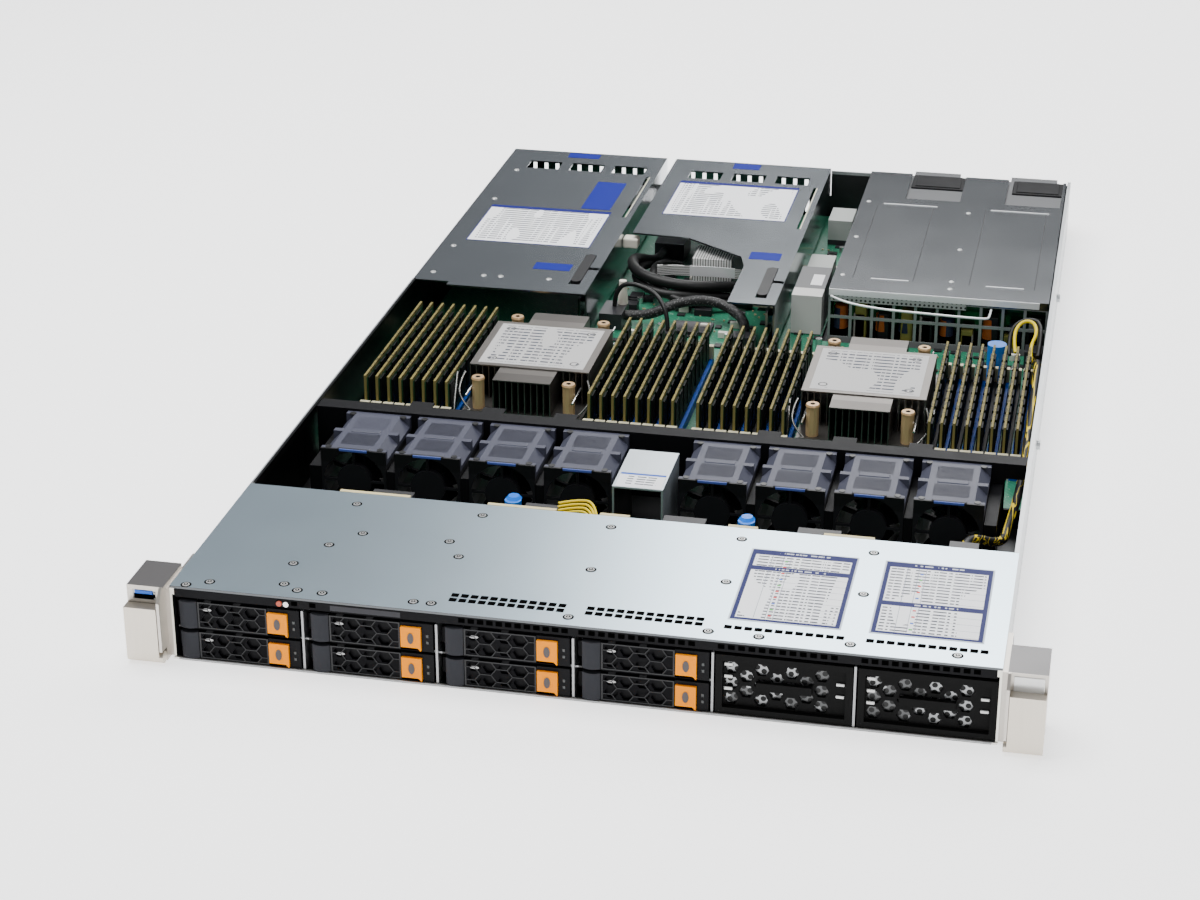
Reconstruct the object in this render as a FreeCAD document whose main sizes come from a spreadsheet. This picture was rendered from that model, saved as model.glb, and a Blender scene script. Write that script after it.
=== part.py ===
"""A one-unit rack server with its lid off, in millimetres.

The origin is the middle of the casing's lower front edge: +X to the right as seen from the front,
+Y to the rear, +Z up. Every size is a cell of the sheet; places are worked out from those cells.
"""
import FreeCAD, Part
import math
import os
import Sketcher
from FreeCAD import Placement, Rotation, Vector

os.makedirs("parts", exist_ok=True)
doc = FreeCAD.newDocument("rack_server")

SIZES = {
    # Casing and clearances
    "chassis_width": 437.0,
    "chassis_height": 43.6,
    "chassis_depth": 774.0,
    "steel": 1.2,
    "gap": 0.3,
    "hem_width": 2.4,
    "hem_height": 5.0,
    "front_lip": 0.8,
    "rear_wall_height": 41.0,
    "low_rear_wall": 20.5,
    "stud_radius": 3.0,
    "stud_length": 2.4,
    "stud_height": 22.0,
    "first_stud": 69.0,
    "stud_pitch": 255.5,
    "port_window_left": 205.0,
    "port_window_width": 105.0,
    "port_window_bottom": 6.0,
    "port_window_height": 13.0,
    "rear_vent_width": 3.0,
    "rear_vent_height": 11.0,
    "rear_vent_pitch": 9.0,
    # Fixed cover over the drives
    "cover_depth": 130.0,
    "cover_turn_down": 6.0,
    "slot_width": 3.2,
    "slot_length": 2.4,
    "slot_pitch": 5.24,
    "slot_setback": 14.0,
    "slot_row_pitch": 5.3,
    # Drive bays: six columns, two rows
    "bay_pitch": 72.8,
    "row_floor": 1.5,
    "row_height": 16.4,
    "row_pitch": 18.0,
    "cage_depth": 118.0,
    "carrier_width": 70.5,
    "carrier_offset": 1.5,
    "bezel_depth": 7.0,
    "bezel_inset": 2.9,
    "bezel_width": 66.6,
    "rail_thickness": 0.4,
    "rail_height": 9.0,
    "rail_length": 108.0,
    "drive_width": 69.1,
    "drive_length": 100.4,
    "drive_height": 14.6,
    "drive_setback": 17.0,
    "lever_length": 48.8,
    "lever_thickness": 2.2,
    "lever_column": 10.0,
    "lever_bulge": 1.8,
    "lever_pivot_depth": 0.4,
    "cell_across": 7.6,
    "cell_web": 1.0,
    "button_width": 10.8,
    "button_height": 11.8,
    "button_thickness": 4.2,
    "button_tail": 1.8,
    "button_travel": 1.5,
    "blank_depth": 20.0,
    "blank_border": 3.6,
    "blank_plate": 1.4,
    "blank_setback": 2.6,
    "blank_cell": 6.7,
    "blank_web": 2.2,
    "blank_bar_width": 28.6,
    "blank_bar_height": 4.6,
    # Control strip above the drives
    "strip_bottom": 37.5,
    "strip_depth": 3.0,
    "key_radius": 1.5,
    "key_height": 39.7,
    "key_length": 4.0,
    "key_travel": 0.8,
    "first_key": 157.7,
    "key_pitch": 3.8,
    # Rack ears
    "rack_width": 482.6,
    "rack_hole_spacing": 465.1,
    "rack_hole_radius": 3.25,
    "rack_hole_height": 21.8,
    "ear_wall": 1.6,
    "ear_step": 2.8,
    "ear_front": 3.0,
    "ear_back": 26.0,
    "ear_nose": 9.6,
    "ear_nose_bottom": 8.0,
    "ear_nose_top": 37.0,
    "ear_face_bottom": 24.0,
    "ear_flange_depth": 42.0,
    "port_width": 13.2,
    "port_height": 5.6,
    "port_depth": 13.0,
    "upper_port": 35.7,
    "lower_port": 25.9,
    "flap_radius": 3.35,
    "flap_axis_height": 4.0,
    "flap_height": 33.5,
    "flap_skin": 1.6,
    # Backplane behind the drives
    "backplane_thickness": 2.4,
    "backplane_bottom": 3.0,
    "backplane_top": 41.0,
    "drive_plug_width": 44.0,
    "drive_plug_height": 6.0,
    "blue_knob_radius": 4.8,
    "blue_knob_height": 7.0,
    "knob_place": 67.0,
    "knob_setback": 12.0,
    # Fans
    "fan_side": 40.0,
    "fan_length": 56.0,
    "fan_front": 190.0,
    "fan_bottom": 1.5,
    "fan_pitch": 45.3,
    "first_fan": 39.8,
    "fan_bore_radius": 18.6,
    "fan_flange": 4.0,
    "fan_corner": 6.5,
    "fan_hub_radius": 10.5,
    "fan_hub_depth": 4.0,
    "fan_strut": 1.4,
    "rotor_hub_length": 17.0,
    "rotor_hub_radius": 10.0,
    "blade_reach": 17.2,
    "blade_chord": 14.0,
    "blade_thickness": 1.0,
    "blade_angle": 38.0,
    "fan_wall": 2.0,
    "fan_shelf": 11.7,
    "fan_shelf_top": 43.0,
    "fan_window": 35.0,
    "fan_window_corner": 9.0,
    "fan_tab_width": 14.0,
    "fan_tab_reach": 7.0,
    "fan_post_height": 28.0,
    "fan_end_block": 7.0,
    "lead_passage": 204.0,
    "lead_passage_width": 12.6,
    "lead_passage_rise": 12.0,
    "lead_passage_height": 20.0,
    "bracket_width": 29.6,
    "bracket_front": 170.0,
    "bracket_length": 52.0,
    "bracket_top": 43.0,
    # Main board
    "board_bottom": 4.2,
    "board_thickness": 1.8,
    "board_side": 3.3,
    "board_front": 262.0,
    "board_notch": 506.0,
    "board_notch_x": 62.0,
    "board_rear_gap": 8.0,
    "standoff_radius": 3.0,
    "socket_width": 78.0,
    "socket_length": 112.0,
    "socket_height": 7.4,
    # Memory
    "dimm_pitch": 7.62,
    "dimm_length": 133.35,
    "dimm_front": 307.8,
    "dimm_height": 31.25,
    "dimm_blade": 1.4,
    "slot_body": 142.4,
    "slot_thickness": 6.4,
    "slot_rise": 6.6,
    "latch_rise": 16.0,
    "latch_thickness": 4.2,
    "dimm_seat": 1.6,
    "outer_bank": 177.3,
    "inner_left_bank": 31.9,
    "inner_right_bank": 37.3,
    "right_bank": 180.3,
    # Processor heatsinks
    "left_sink": 104.0,
    "right_sink": 110.0,
    "sink_middle": 376.0,
    "sink_width": 78.0,
    "sink_length": 76.0,
    "sink_base_length": 119.0,
    "sink_base": 3.2,
    "sink_top": 40.0,
    "sink_cap": 0.8,
    "tongue_width": 37.4,
    "fin_thickness": 0.6,
    "nut_radius": 4.0,
    "nut_x": 29.5,
    "nut_y": 53.5,
    "nut_top": 37.0,
    # Riser cages
    "riser_top": 43.0,
    "riser_front": 472.0,
    "riser_nose": 6.0,
    "left_riser_right": 95.4,
    "left_riser_step": 193.0,
    "middle_riser_left": 88.0,
    "middle_riser_right": 34.5,
    "middle_arm": 32.5,
    "arm_length": 72.0,
    "curve_start": 90.0,
    "curve_middle_x": 46.0,
    "curve_middle": 121.0,
    "curve_end": 124.0,
    "riser_wall_bottom": 9.0,
    "riser_panel_bottom": 21.0,
    "window_width": 25.5,
    "window_length": 18.0,
    "window_pitch": 33.8,
    "window_setback": 27.0,
    "window_inset": 16.5,
    "card_slit": 2.0,
    "card_inset": 6.2,
    "slit_front": 155.0,
    "slit_length": 96.0,
    "card_thickness": 1.6,
    "card_front": 4.5,
    "card_length": 270.0,
    "card_top": 35.5,
    "card_slot_height": 8.0,
    "card_slot_reach": 10.0,
    "card_slot_length": 92.0,
    "slide_latch_width": 7.2,
    "slide_latch_length": 55.0,
    "slide_latch_front": 16.0,
    "slide_latch_inset": 8.0,
    "slide_latch_proud": 0.6,
    "slide_latch_height": 6.0,
    "slide_latch_travel": 4.0,
    "slide_latch_notch": 5.0,
    "latch_corner": 2.4,
    # Power supplies and their cage
    "cage_left": 66.0,
    "cage_front": 512.0,
    "cage_top": 43.0,
    "psu_width": 72.2,
    "psu_height": 38.8,
    "psu_bottom": 1.6,
    "psu_front": 536.0,
    "psu_proud": 2.0,
    "psu_inlet_width": 27.0,
    "psu_inlet_height": 20.0,
    "psu_inlet_depth": 15.0,
    "psu_inlet_place": 16.0,
    "psu_fan_place": 49.0,
    "psu_fan_radius": 16.5,
    "psu_fan_depth": 8.0,
    "psu_fan_hub": 8.0,
    "handle_width": 35.0,
    "handle_reach": 11.0,
    "handle_wall": 2.2,
    "handle_bar_height": 8.0,
    "shroud_depth": 24.0,
    "psu_latch_place": 69.4,
    "psu_latch_width": 2.2,
    "psu_latch_reach": 12.0,
    "psu_latch_height": 18.0,
    "cage_notch_width": 41.0,
    "cage_notch_depth": 60.0,
    "cage_notch_inset": 30.5,
    "lattice_bar": 2.0,
    "lattice_bottom": 8.0,
    "lattice_cell_height": 13.4,
    "power_board_height": 34.0,
    "power_board_setback": 16.0,
    # Cable sleeves
    "bundle_radius": 4.0,
    "braid_radius": 3.6,
    "thin_radius": 1.6,
    "side_lead_radius": 2.6,
    "loop_radius": 1.2,
}

FANS_PER_SIDE = 4
FAN_BLADES = 5
DIMMS_PER_BANK = 8
DRIVE_COLUMNS = 4
ROWS = 2


class Size:
    """A number with the sheet formula that gives it, so sums of sizes stay bound to the sheet."""

    def __init__(self, value, formula):
        self.value = value
        self.formula = formula

    def __add__(self, other):
        return Size(self.value + number(other), f"({self.formula} + {formula(other)})")

    def __radd__(self, other):
        return self + other

    def __sub__(self, other):
        return Size(self.value - number(other), f"({self.formula} - {formula(other)})")

    def __rsub__(self, other):
        return Size(number(other) - self.value, f"({formula(other)} - {self.formula})")

    def __mul__(self, other):
        return Size(self.value * number(other), f"({self.formula} * {formula(other)})")

    def __rmul__(self, other):
        return self * other

    def __truediv__(self, other):
        return Size(self.value / number(other), f"({self.formula} / {formula(other)})")

    def __neg__(self):
        return self * -1


class Sheet:
    """The spreadsheet of sizes; each cell is read back as a Size."""

    def __init__(self, sizes):
        self.cells = doc.addObject("Spreadsheet::Sheet", "sizes")
        for line, (name, value) in enumerate(sizes.items(), start=1):
            self.cells.set(f"A{line}", name)
            self.cells.set(f"B{line}", str(value))
            self.cells.setAlias(f"B{line}", name)
        doc.recompute()

    def __getattr__(self, name):
        return Size(float(getattr(self.cells, name)), f"sizes.{name}")


def number(value):
    return value.value if isinstance(value, Size) else float(value)


def formula(value):
    return value.formula if isinstance(value, Size) else repr(float(value))


def bind(piece, path, value):
    piece.setExpression(path, formula(value))


def place(piece, x, y, z):
    for axis, value in zip("xyz", (x, y, z)):
        bind(piece, f"Placement.Base.{axis}", value)


def body(label, x=0, y=0, z=0):
    part = doc.addObject("PartDesign::Body", label)
    part.Label = label
    place(part, x, y, z)
    return part


def datum(part, role):
    return next(item for item in part.Origin.OriginFeatures if item.Role == role)


def box(part, corner, lengths, kind="AdditiveBox"):
    """A rectangular feature from its lowest corner, added to the body or cut from it."""
    made = part.newObject(f"PartDesign::{kind}", f"{part.Name}_{kind}")
    for path, value in zip(("Length", "Width", "Height"), lengths):
        bind(made, path, value)
    place(made, *corner)
    return made


def cut(part, corner, lengths):
    return box(part, corner, lengths, "SubtractiveBox")


def row(part, features, axis, step, count, second_axis=None, second_step=0, second_count=1):
    """Copies of features along one origin axis, or in a grid along two."""
    made = part.newObject("PartDesign::LinearPattern", f"{part.Name}_row")
    made.Originals = features
    made.Direction = (datum(part, axis), [""])
    bind(made, "Length", step * (count - 1))
    made.Occurrences = count
    if second_axis:
        made.Direction2 = (datum(part, second_axis), [""])
        bind(made, "Length2", second_step * (second_count - 1))
        made.Occurrences2 = second_count
    part.Tip = made
    return made


def sketch(part, plane, height=0):
    """An empty sketch on one of the body's origin planes, moved along the plane's normal."""
    made = part.newObject("Sketcher::SketchObject", f"{part.Name}_profile")
    made.AttachmentSupport = [(datum(part, plane), "")]
    made.MapMode = "FlatFace"
    bind(made, "AttachmentOffset.Base.z", height)
    return made


def hold(drawing, kind, place_of, value):
    index = drawing.addConstraint(Sketcher.Constraint(kind, *place_of, number(value)))
    if isinstance(value, Size):
        drawing.setExpression(f"Constraints[{index}]", value.formula)


def polygon(drawing, corners):
    """A closed outline whose corners are held at their distances from the sketch's origin."""
    first = drawing.GeometryCount
    spots = [Vector(number(across), number(up), 0) for across, up in corners]
    for index, spot in enumerate(spots):
        drawing.addGeometry(Part.LineSegment(spot, spots[(index + 1) % len(spots)]), False)
    for index, (across, up) in enumerate(corners):
        line = first + index
        following = first + (index + 1) % len(corners)
        drawing.addConstraint(Sketcher.Constraint("Coincident", line, 2, following, 1))
        hold(drawing, "DistanceX", (line, 1), across)
        hold(drawing, "DistanceY", (line, 1), up)


def rectangle(drawing, left, low, width, height):
    right = left + width
    high = low + height
    polygon(drawing, [(left, low), (right, low), (right, high), (left, high)])


def circle(drawing, across, up, radius):
    disc = drawing.addGeometry(Part.Circle(Vector(number(across), number(up), 0), Vector(0, 0, 1),
                                           number(radius)), False)
    hold(drawing, "DistanceX", (disc, 3), across)
    hold(drawing, "DistanceY", (disc, 3), up)
    index = drawing.addConstraint(Sketcher.Constraint("Radius", disc, number(radius)))
    drawing.setExpression(f"Constraints[{index}]", formula(radius))


def hexagon(drawing, across, up, flat):
    """A hexagon with its points to left and right, sized across its flats."""
    point = flat / 1.7320508
    polygon(drawing, [(across - point, up), (across - point / 2, up - flat / 2),
                      (across + point / 2, up - flat / 2), (across + point, up),
                      (across + point / 2, up + flat / 2), (across - point / 2, up + flat / 2)])


def ring(drawing, radius, sides):
    """A regular outline round the sketch's origin, its corners on a circle."""
    corners = []
    for step in range(sides):
        angle = 2 * math.pi * (step + 0.5) / sides
        corners.append((radius * math.sin(angle), radius * math.cos(angle)))
    polygon(drawing, corners)


def pad(part, drawing, length, backwards=False):
    made = part.newObject("PartDesign::Pad", f"{part.Name}_pad")
    made.Profile = (drawing, [""])
    bind(made, "Length", length)
    made.Reversed = backwards
    return made


def pocket(part, drawing):
    """A cut right through the body, both ways from its sketch."""
    made = part.newObject("PartDesign::Pocket", f"{part.Name}_pocket")
    made.Profile = (drawing, [""])
    made.SideType = "Symmetric"
    made.Type = "ThroughAll"
    return made


def block(label, corner, lengths):
    """A plain rectangular piece from its lowest corner."""
    made = doc.addObject("Part::Box", label)
    for path, value in zip(("Length", "Width", "Height"), lengths):
        bind(made, path, value)
    place(made, *corner)
    return made


def post(label, centre, radius, height, sides=0):
    """An upright round piece from the middle of its foot, or a prism where it has sides."""
    made = doc.addObject("Part::Prism" if sides else "Part::Cylinder", label)
    if sides:
        made.Polygon = sides
    bind(made, "Circumradius" if sides else "Radius", radius)
    bind(made, "Height", height)
    place(made, *centre)
    return made


nodes = []


def keep(piece):
    """One node of the assembly."""
    nodes.append(piece)
    return piece


def group(label, members):
    """Several solids that share one node."""
    made = doc.addObject("Part::Compound", label)
    made.Label = label
    made.Links = members
    return keep(made)


def outward(side, near, far):
    """The low corner and the length of a stretch that lies from near to far on one side of the middle."""
    return (near if side > 0 else -far), far - near


size = Sheet(SIZES)
half = size.chassis_width / 2
top = size.chassis_height
steel = size.steel
gap = size.gap
inner = half - steel
clear = half - size.hem_width - gap
rear = size.chassis_depth
back = rear - steel - gap
psu_outer = rear + size.psu_proud
board_end = rear - size.board_rear_gap
riser_plate = size.riser_top - steel
cage_right = size.cage_left + 3 * steel + 4 * gap + 2 * size.psu_width


def bay_left(column):
    """The left edge of a drive column; columns run from 0 at the left to 5."""
    return size.bay_pitch * (column - 3)


def chassis_tray():
    """The steel tray: floor, hemmed side walls, rear wall and the studs for the slide rails."""
    part = body("chassis_tray")
    hem = half - size.hem_width
    low = top - size.hem_height
    walls = sketch(part, "XZ_Plane")
    polygon(walls, [(-half, 0), (half, 0), (half, top), (hem, top), (hem, low), (inner, low),
                    (inner, steel), (-inner, steel), (-inner, low), (-hem, low), (-hem, top), (-half, top)])
    pad(part, walls, rear, backwards=True)
    box(part, (-half, -size.front_lip, 0), (size.chassis_width, size.front_lip, steel))
    cut(part, (-half, 0, top - steel), (size.chassis_width, size.cover_depth + gap, steel))
    cut(part, (-half, size.riser_front - gap, riser_plate), (size.hem_width, rear, top))
    box(part, (-inner, rear - steel, steel), (2 * inner, steel, size.rear_wall_height - steel))
    cut(part, (-inner, rear - steel, size.low_rear_wall),
        (inner + size.middle_riser_right + gap, steel, size.rear_wall_height))
    cut(part, (size.cage_left + steel, rear - steel, steel),
        (cage_right - size.cage_left - 2 * steel, steel, size.rear_wall_height))
    cut(part, (-size.port_window_left, rear - steel, size.port_window_bottom),
        (size.port_window_width, steel, size.port_window_height))
    vent = cut(part, (4 - size.middle_riser_left, rear - steel, size.port_window_bottom),
               (size.rear_vent_width, steel, size.rear_vent_height))
    row(part, [vent], "X_Axis", size.rear_vent_pitch, 13)
    for side in (-1, 1):
        studs = sketch(part, "YZ_Plane", half * side)
        for index in range(3):
            circle(studs, size.first_stud + size.stud_pitch * index, size.stud_height, size.stud_radius)
        pad(part, studs, size.stud_length, backwards=side < 0)
    return keep(part)


def front_cover():
    """The fixed galvanised cover over the drives, with rows of small air slots."""
    part = body("front_cover")
    depth = size.cover_depth
    bend = top - size.cover_turn_down
    profile = sketch(part, "YZ_Plane", -half)
    polygon(profile, [(0, top - steel), (depth - steel, top - steel), (depth - steel, bend), (depth, bend),
                      (depth, top), (0, top)])
    pad(part, profile, size.chassis_width)
    corner_cut = size.hem_width + gap
    for side in (-1, 1):
        low, length = outward(side, half - corner_cut, half)
        cut(part, (low, depth - steel, bend), (length, steel, top - steel - bend))
    slots = (size.slot_width, size.slot_length, 2 * steel)
    for column, rows in ((2, 2), (3, 2), (4, 1), (5, 1)):
        start = bay_left(column) + size.slot_pitch - gap * 4
        first = cut(part, (start, size.slot_setback, top - 1.5 * steel), slots)
        row(part, [first], "X_Axis", size.slot_pitch, 12, "Y_Axis", size.slot_row_pitch, rows)
    return keep(part)


def drive_cage():
    """The drive cage: upright dividers, shelves between the two rows, and the ribbed plate above them."""
    strip_back = size.strip_depth + gap
    deep = size.cage_depth
    shoulder = size.strip_bottom - gap
    plate_low = size.row_floor + size.row_pitch + size.row_height + gap
    shelf = size.row_pitch - size.row_height - 2 * gap
    shelf_low = size.row_floor + size.row_height + gap
    first = -2 * size.bay_pitch - steel / 2
    uprights = body("cage_dividers")
    upright = box(uprights, (first, 0, steel), (steel, deep, plate_low - steel))
    row(uprights, [upright], "X_Axis", size.bay_pitch, 5)
    shelves = body("cage_shelves")
    wide = size.bay_pitch - steel
    one = box(shelves, (first + steel, size.blank_setback, shelf_low),
              (wide, deep - size.blank_setback, shelf))
    row(shelves, [one], "X_Axis", size.bay_pitch, 3)
    end = block("end_shelf", (-clear, size.blank_setback, shelf_low),
                (clear + first, deep - size.blank_setback, shelf))
    roof = body("cage_plate")
    box(roof, (-clear, strip_back, plate_low), (2 * clear, deep - strip_back, shoulder - plate_low))
    rib = box(roof, (first, strip_back, plate_low), (steel, deep - strip_back, top - steel - plate_low))
    row(roof, [rib], "X_Axis", size.bay_pitch, 5)
    return group("drive_cage", [uprights, shelves, end, roof])


def control_strip():
    """The black strip above the drives, bored for the two small keys."""
    part = body("control_strip")
    depth = size.strip_depth
    face = sketch(part, "YZ_Plane", -clear)
    high = top - steel - gap / 2
    polygon(face, [(0, size.strip_bottom), (depth, size.strip_bottom), (depth, high), (0, high)])
    pad(part, face, 2 * clear)
    bores = sketch(part, "XZ_Plane")
    for index in range(2):
        circle(bores, size.key_pitch * index - size.first_key, size.key_height, size.key_radius + gap / 3)
    pocket(part, bores)
    return keep(part)


def front_key(label, index):
    """A small round key in the control strip, standing a little proud of it."""
    part = body(label, size.key_pitch * index - size.first_key, -size.key_travel - gap, size.key_height)
    face = sketch(part, "XZ_Plane")
    circle(face, 0, 0, size.key_radius)
    pad(part, face, size.key_length, backwards=True)
    return keep(part)


def drive_carrier(label, column, level):
    """A drive carrier: bezel with the lever's seat and the key's window, side rails and the drive."""
    left = bay_left(column) + size.carrier_offset
    low = size.row_floor + size.row_pitch * level
    part = body(f"{label}_frame", left, 0, low)
    high = size.row_height
    wide = size.carrier_width
    pivot = size.bezel_inset + size.lever_column / 2
    box(part, (size.bezel_inset, 0, 0), (size.bezel_width, size.bezel_depth, high))
    rail_low = (high - size.rail_height) / 2
    box(part, (0, size.bezel_depth - steel, rail_low), (wide, steel, size.rail_height))
    cut(part, (size.bezel_inset, -gap, gap), (size.lever_length + gap, size.lever_thickness + gap, high))
    seat = sketch(part, "XY_Plane", gap)
    circle(seat, pivot, size.lever_pivot_depth, size.lever_column / 2 + 1.5 * gap)
    cup = part.newObject("PartDesign::Pocket", f"{label}_cup")
    cup.Profile = (seat, [""])
    cup.Reversed = True
    bind(cup, "Length", high)
    window_left = size.bezel_inset + size.lever_length + gap
    window_low = (high - size.button_height) / 2
    cut(part, (window_left, -gap, window_low - size.button_tail - gap),
        (size.button_width + 2 * gap, size.bezel_depth - steel + gap,
         size.button_height + size.button_tail + 2 * gap))
    rail = box(part, (0, size.bezel_depth, rail_low), (size.rail_thickness, size.rail_length,
                                                       size.rail_height))
    row(part, [rail], "X_Axis", wide - size.rail_thickness, 2)
    spot = (left + (wide - size.drive_width) / 2, size.drive_setback, low + (high - size.drive_height) / 2)
    brick = block(f"{label}_drive", spot, (size.drive_width, size.drive_length, size.drive_height))
    return group(label, [part, brick])


def drive_lever(label, column, level):
    """The honeycomb lever in front of a drive; its rounded column at the left is the pivot."""
    left = bay_left(column) + size.carrier_offset + size.bezel_inset
    low = size.row_floor + size.row_pitch * level + 1.5 * gap
    part = body(label, left, 0, low)
    high = size.row_height - 3 * gap
    wide = size.lever_column
    outline = sketch(part, "XY_Plane")
    start = Vector(gap.value, 0, 0)
    crown = Vector(wide.value / 2, -size.lever_bulge.value, 0)
    finish = Vector(wide.value, 0, 0)
    back = Vector(wide.value, size.lever_thickness.value, 0)
    low_back = Vector(gap.value, size.lever_thickness.value, 0)
    front = outline.addGeometry(Part.Arc(start, crown, finish), False)
    sides = [outline.addGeometry(Part.LineSegment(a, b), False)
             for a, b in ((finish, back), (back, low_back), (low_back, start))]
    outline.addConstraint(Sketcher.Constraint("Coincident", sides[0], 2, sides[1], 1))
    outline.addConstraint(Sketcher.Constraint("Coincident", sides[1], 2, sides[2], 1))
    outline.addConstraint(Sketcher.Constraint("Coincident", front, 2, sides[0], 1))
    outline.addConstraint(Sketcher.Constraint("Coincident", front, 1, sides[2], 2))
    hold(outline, "DistanceX", (sides[0], 1), wide)
    hold(outline, "DistanceY", (sides[0], 1), 0)
    hold(outline, "DistanceX", (sides[1], 1), wide)
    hold(outline, "DistanceY", (sides[1], 1), size.lever_thickness)
    hold(outline, "DistanceX", (sides[2], 1), gap)
    hold(outline, "DistanceY", (sides[2], 1), size.lever_thickness)
    hold(outline, "DistanceX", (sides[2], 2), gap)
    hold(outline, "DistanceY", (sides[2], 2), 0)
    radius = (wide * wide / 4 + size.lever_bulge * size.lever_bulge) / (2 * size.lever_bulge)
    index = outline.addConstraint(Sketcher.Constraint("Radius", front, radius.value))
    outline.setExpression(f"Constraints[{index}]", radius.formula)
    pad(part, outline, high)
    box(part, (wide, gap, 0), (size.lever_length - wide, size.lever_thickness - gap, high))
    cell = size.cell_across
    step = (cell + size.cell_web) / 1.1547
    cells = sketch(part, "XZ_Plane")
    column_gap = wide + cell * 0.75
    for index in range(4):
        rise = high / 4 + size.cell_web / 2 if index % 2 else high / 4 + size.cell_web
        hexagon(cells, column_gap + step * index * 1.1, rise, cell - size.cell_web)
        hexagon(cells, column_gap + step * index * 1.1, rise + cell - size.cell_web * 0.2,
                cell - size.cell_web)
    pocket(part, cells)
    return keep(part)


def drive_button(label, column, level):
    """The orange release key at the lever's free end, with a small tail at its lower right."""
    left = bay_left(column) + size.carrier_offset + size.bezel_inset + size.lever_length + 2 * gap
    low = size.row_floor + size.row_pitch * level + (size.row_height - size.button_height) / 2
    part = body(label, left, 0, low)
    wide = size.button_width
    tail = wide - size.button_tail
    face = sketch(part, "XZ_Plane", size.button_travel)
    polygon(face, [(0, 0), (tail, 0), (wide, -size.button_tail), (wide, size.button_height),
                   (0, size.button_height)])
    pad(part, face, size.button_thickness, backwards=True)
    return keep(part)


def bay_blanks():
    """The two fillers of the empty bays: framed boxes with a honeycomb face and a bar across it."""
    fillers = []
    for column in (4, 5):
        part = body(f"bay_blank_{column - 3}", bay_left(column) + size.carrier_offset, 0, size.row_floor)
        wide = size.carrier_width - gap
        high = size.row_pitch + size.row_height - gap
        edge = size.blank_border
        clear = (wide - 2 * edge, high - 2 * edge)
        face = size.blank_setback
        box(part, (0, 0, 0), (wide, size.blank_depth, high))
        cut(part, (edge, 0, edge), (clear[0], face, clear[1]))
        back = face + size.blank_plate
        cut(part, (edge, back, edge), (clear[0], size.blank_depth - back, clear[1]))
        across = size.blank_cell + size.blank_web
        for offset, start_row, across_count, up_count in ((0.5, 0.5, 4, 3), (1.366, 1.0, 3, 2)):
            seat = sketch(part, "XZ_Plane")
            hexagon(seat, edge + across * offset, edge + across * start_row, size.blank_cell)
            cell = pocket(part, seat)
            row(part, [cell], "X_Axis", across * 1.7320508, across_count, "Z_Axis", across, up_count)
        box(part, ((wide - size.blank_bar_width) / 2, gap, (high - size.blank_bar_height) / 2),
            (size.blank_bar_width, face, size.blank_bar_height))
        fillers.append(part)
    return group("bay_blanks", fillers)


def rack_ear(side):
    """One die-cast rack ear: a hollow box open at the front, a nose wall and the rack screw's hole."""
    name = "right" if side > 0 else "left"
    part = body(f"rack_ear_{name}")
    wall = size.ear_wall
    near = half + size.ear_step
    far = size.rack_width / 2
    front = -size.ear_front
    deep = size.ear_back + size.ear_front
    low, length = outward(side, near, far)
    box(part, (low, front, 0), (length, deep, top))
    low, length = outward(side, near + wall, far - wall)
    cut(part, (low, front, wall), (length, deep - wall, size.ear_face_bottom - wall))
    cut(part, (low, front + wall, wall), (length, deep - 2 * wall, top - 2 * wall))
    low, length = outward(side, near, near + wall)
    nose = sketch(part, "YZ_Plane", low)
    polygon(nose, [(front, size.ear_nose_bottom), (front, top), (front - 1, top),
                   (-size.ear_nose, size.ear_nose_top), (-size.ear_nose, size.ear_nose_bottom)])
    pad(part, nose, length)
    low, length = outward(side, half, near)
    box(part, (low, 1, steel), (length, size.ear_flange_depth, top - 3 * steel))
    hole = sketch(part, "XZ_Plane", -size.ear_back - 1)
    circle(hole, size.rack_hole_spacing / 2 * side, size.rack_hole_height, size.rack_hole_radius)
    bore = part.newObject("PartDesign::Pocket", f"rack_ear_{name}_hole")
    bore.Profile = (hole, [""])
    bore.Reversed = True
    bind(bore, "Length", wall + 2)
    if side < 0:
        for port_low in (size.upper_port, size.lower_port):
            cut(part, (port_left(), front, port_low), (size.port_width, wall, size.port_height))
    return part


def port_left():
    """The low side of the ports in the left ear."""
    return -(half + size.ear_step + size.rack_width / 2 + size.port_width) / 2


def ear_port(label, low):
    """A front data port: a metal shell with its tongue, standing in the left ear."""
    shell = size.gap * 2
    part = body(label, port_left() + gap / 2, -size.ear_front + gap, low + gap / 2)
    wide = size.port_width - gap
    high = size.port_height - gap
    box(part, (0, 0, 0), (wide, size.port_depth, high))
    cut(part, (shell, 0, shell), (wide - 2 * shell, size.port_depth * 0.7, high - 2 * shell))
    box(part, (shell * 2, gap, high / 2), (wide - 4 * shell, size.port_depth * 0.7, high / 2 - 2 * shell))
    return part


def ear_flap(label, side):
    """The flap over an ear's screw: a shallow tray on a round hinge barrel along its lower edge."""
    part = body(label)
    radius = size.flap_radius
    axis_y = -size.ear_front - gap - radius
    near = half + size.ear_step
    far = size.rack_width / 2
    low, length = outward(side, near, far)
    barrel = sketch(part, "YZ_Plane", low)
    circle(barrel, axis_y, size.flap_axis_height, radius)
    pad(part, barrel, length)
    low, length = outward(side, near + size.ear_wall + gap, far)
    skin = size.flap_skin
    box(part, (low, axis_y - radius, size.flap_axis_height),
        (length, 2 * radius, size.flap_height - size.flap_axis_height))
    low, length = outward(side, near + size.ear_wall + gap + skin, far - skin)
    foot = size.flap_axis_height + radius + skin
    cut(part, (low, axis_y - radius + skin, foot), (length, 2 * radius, size.flap_height - skin - foot))
    return keep(part)


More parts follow.
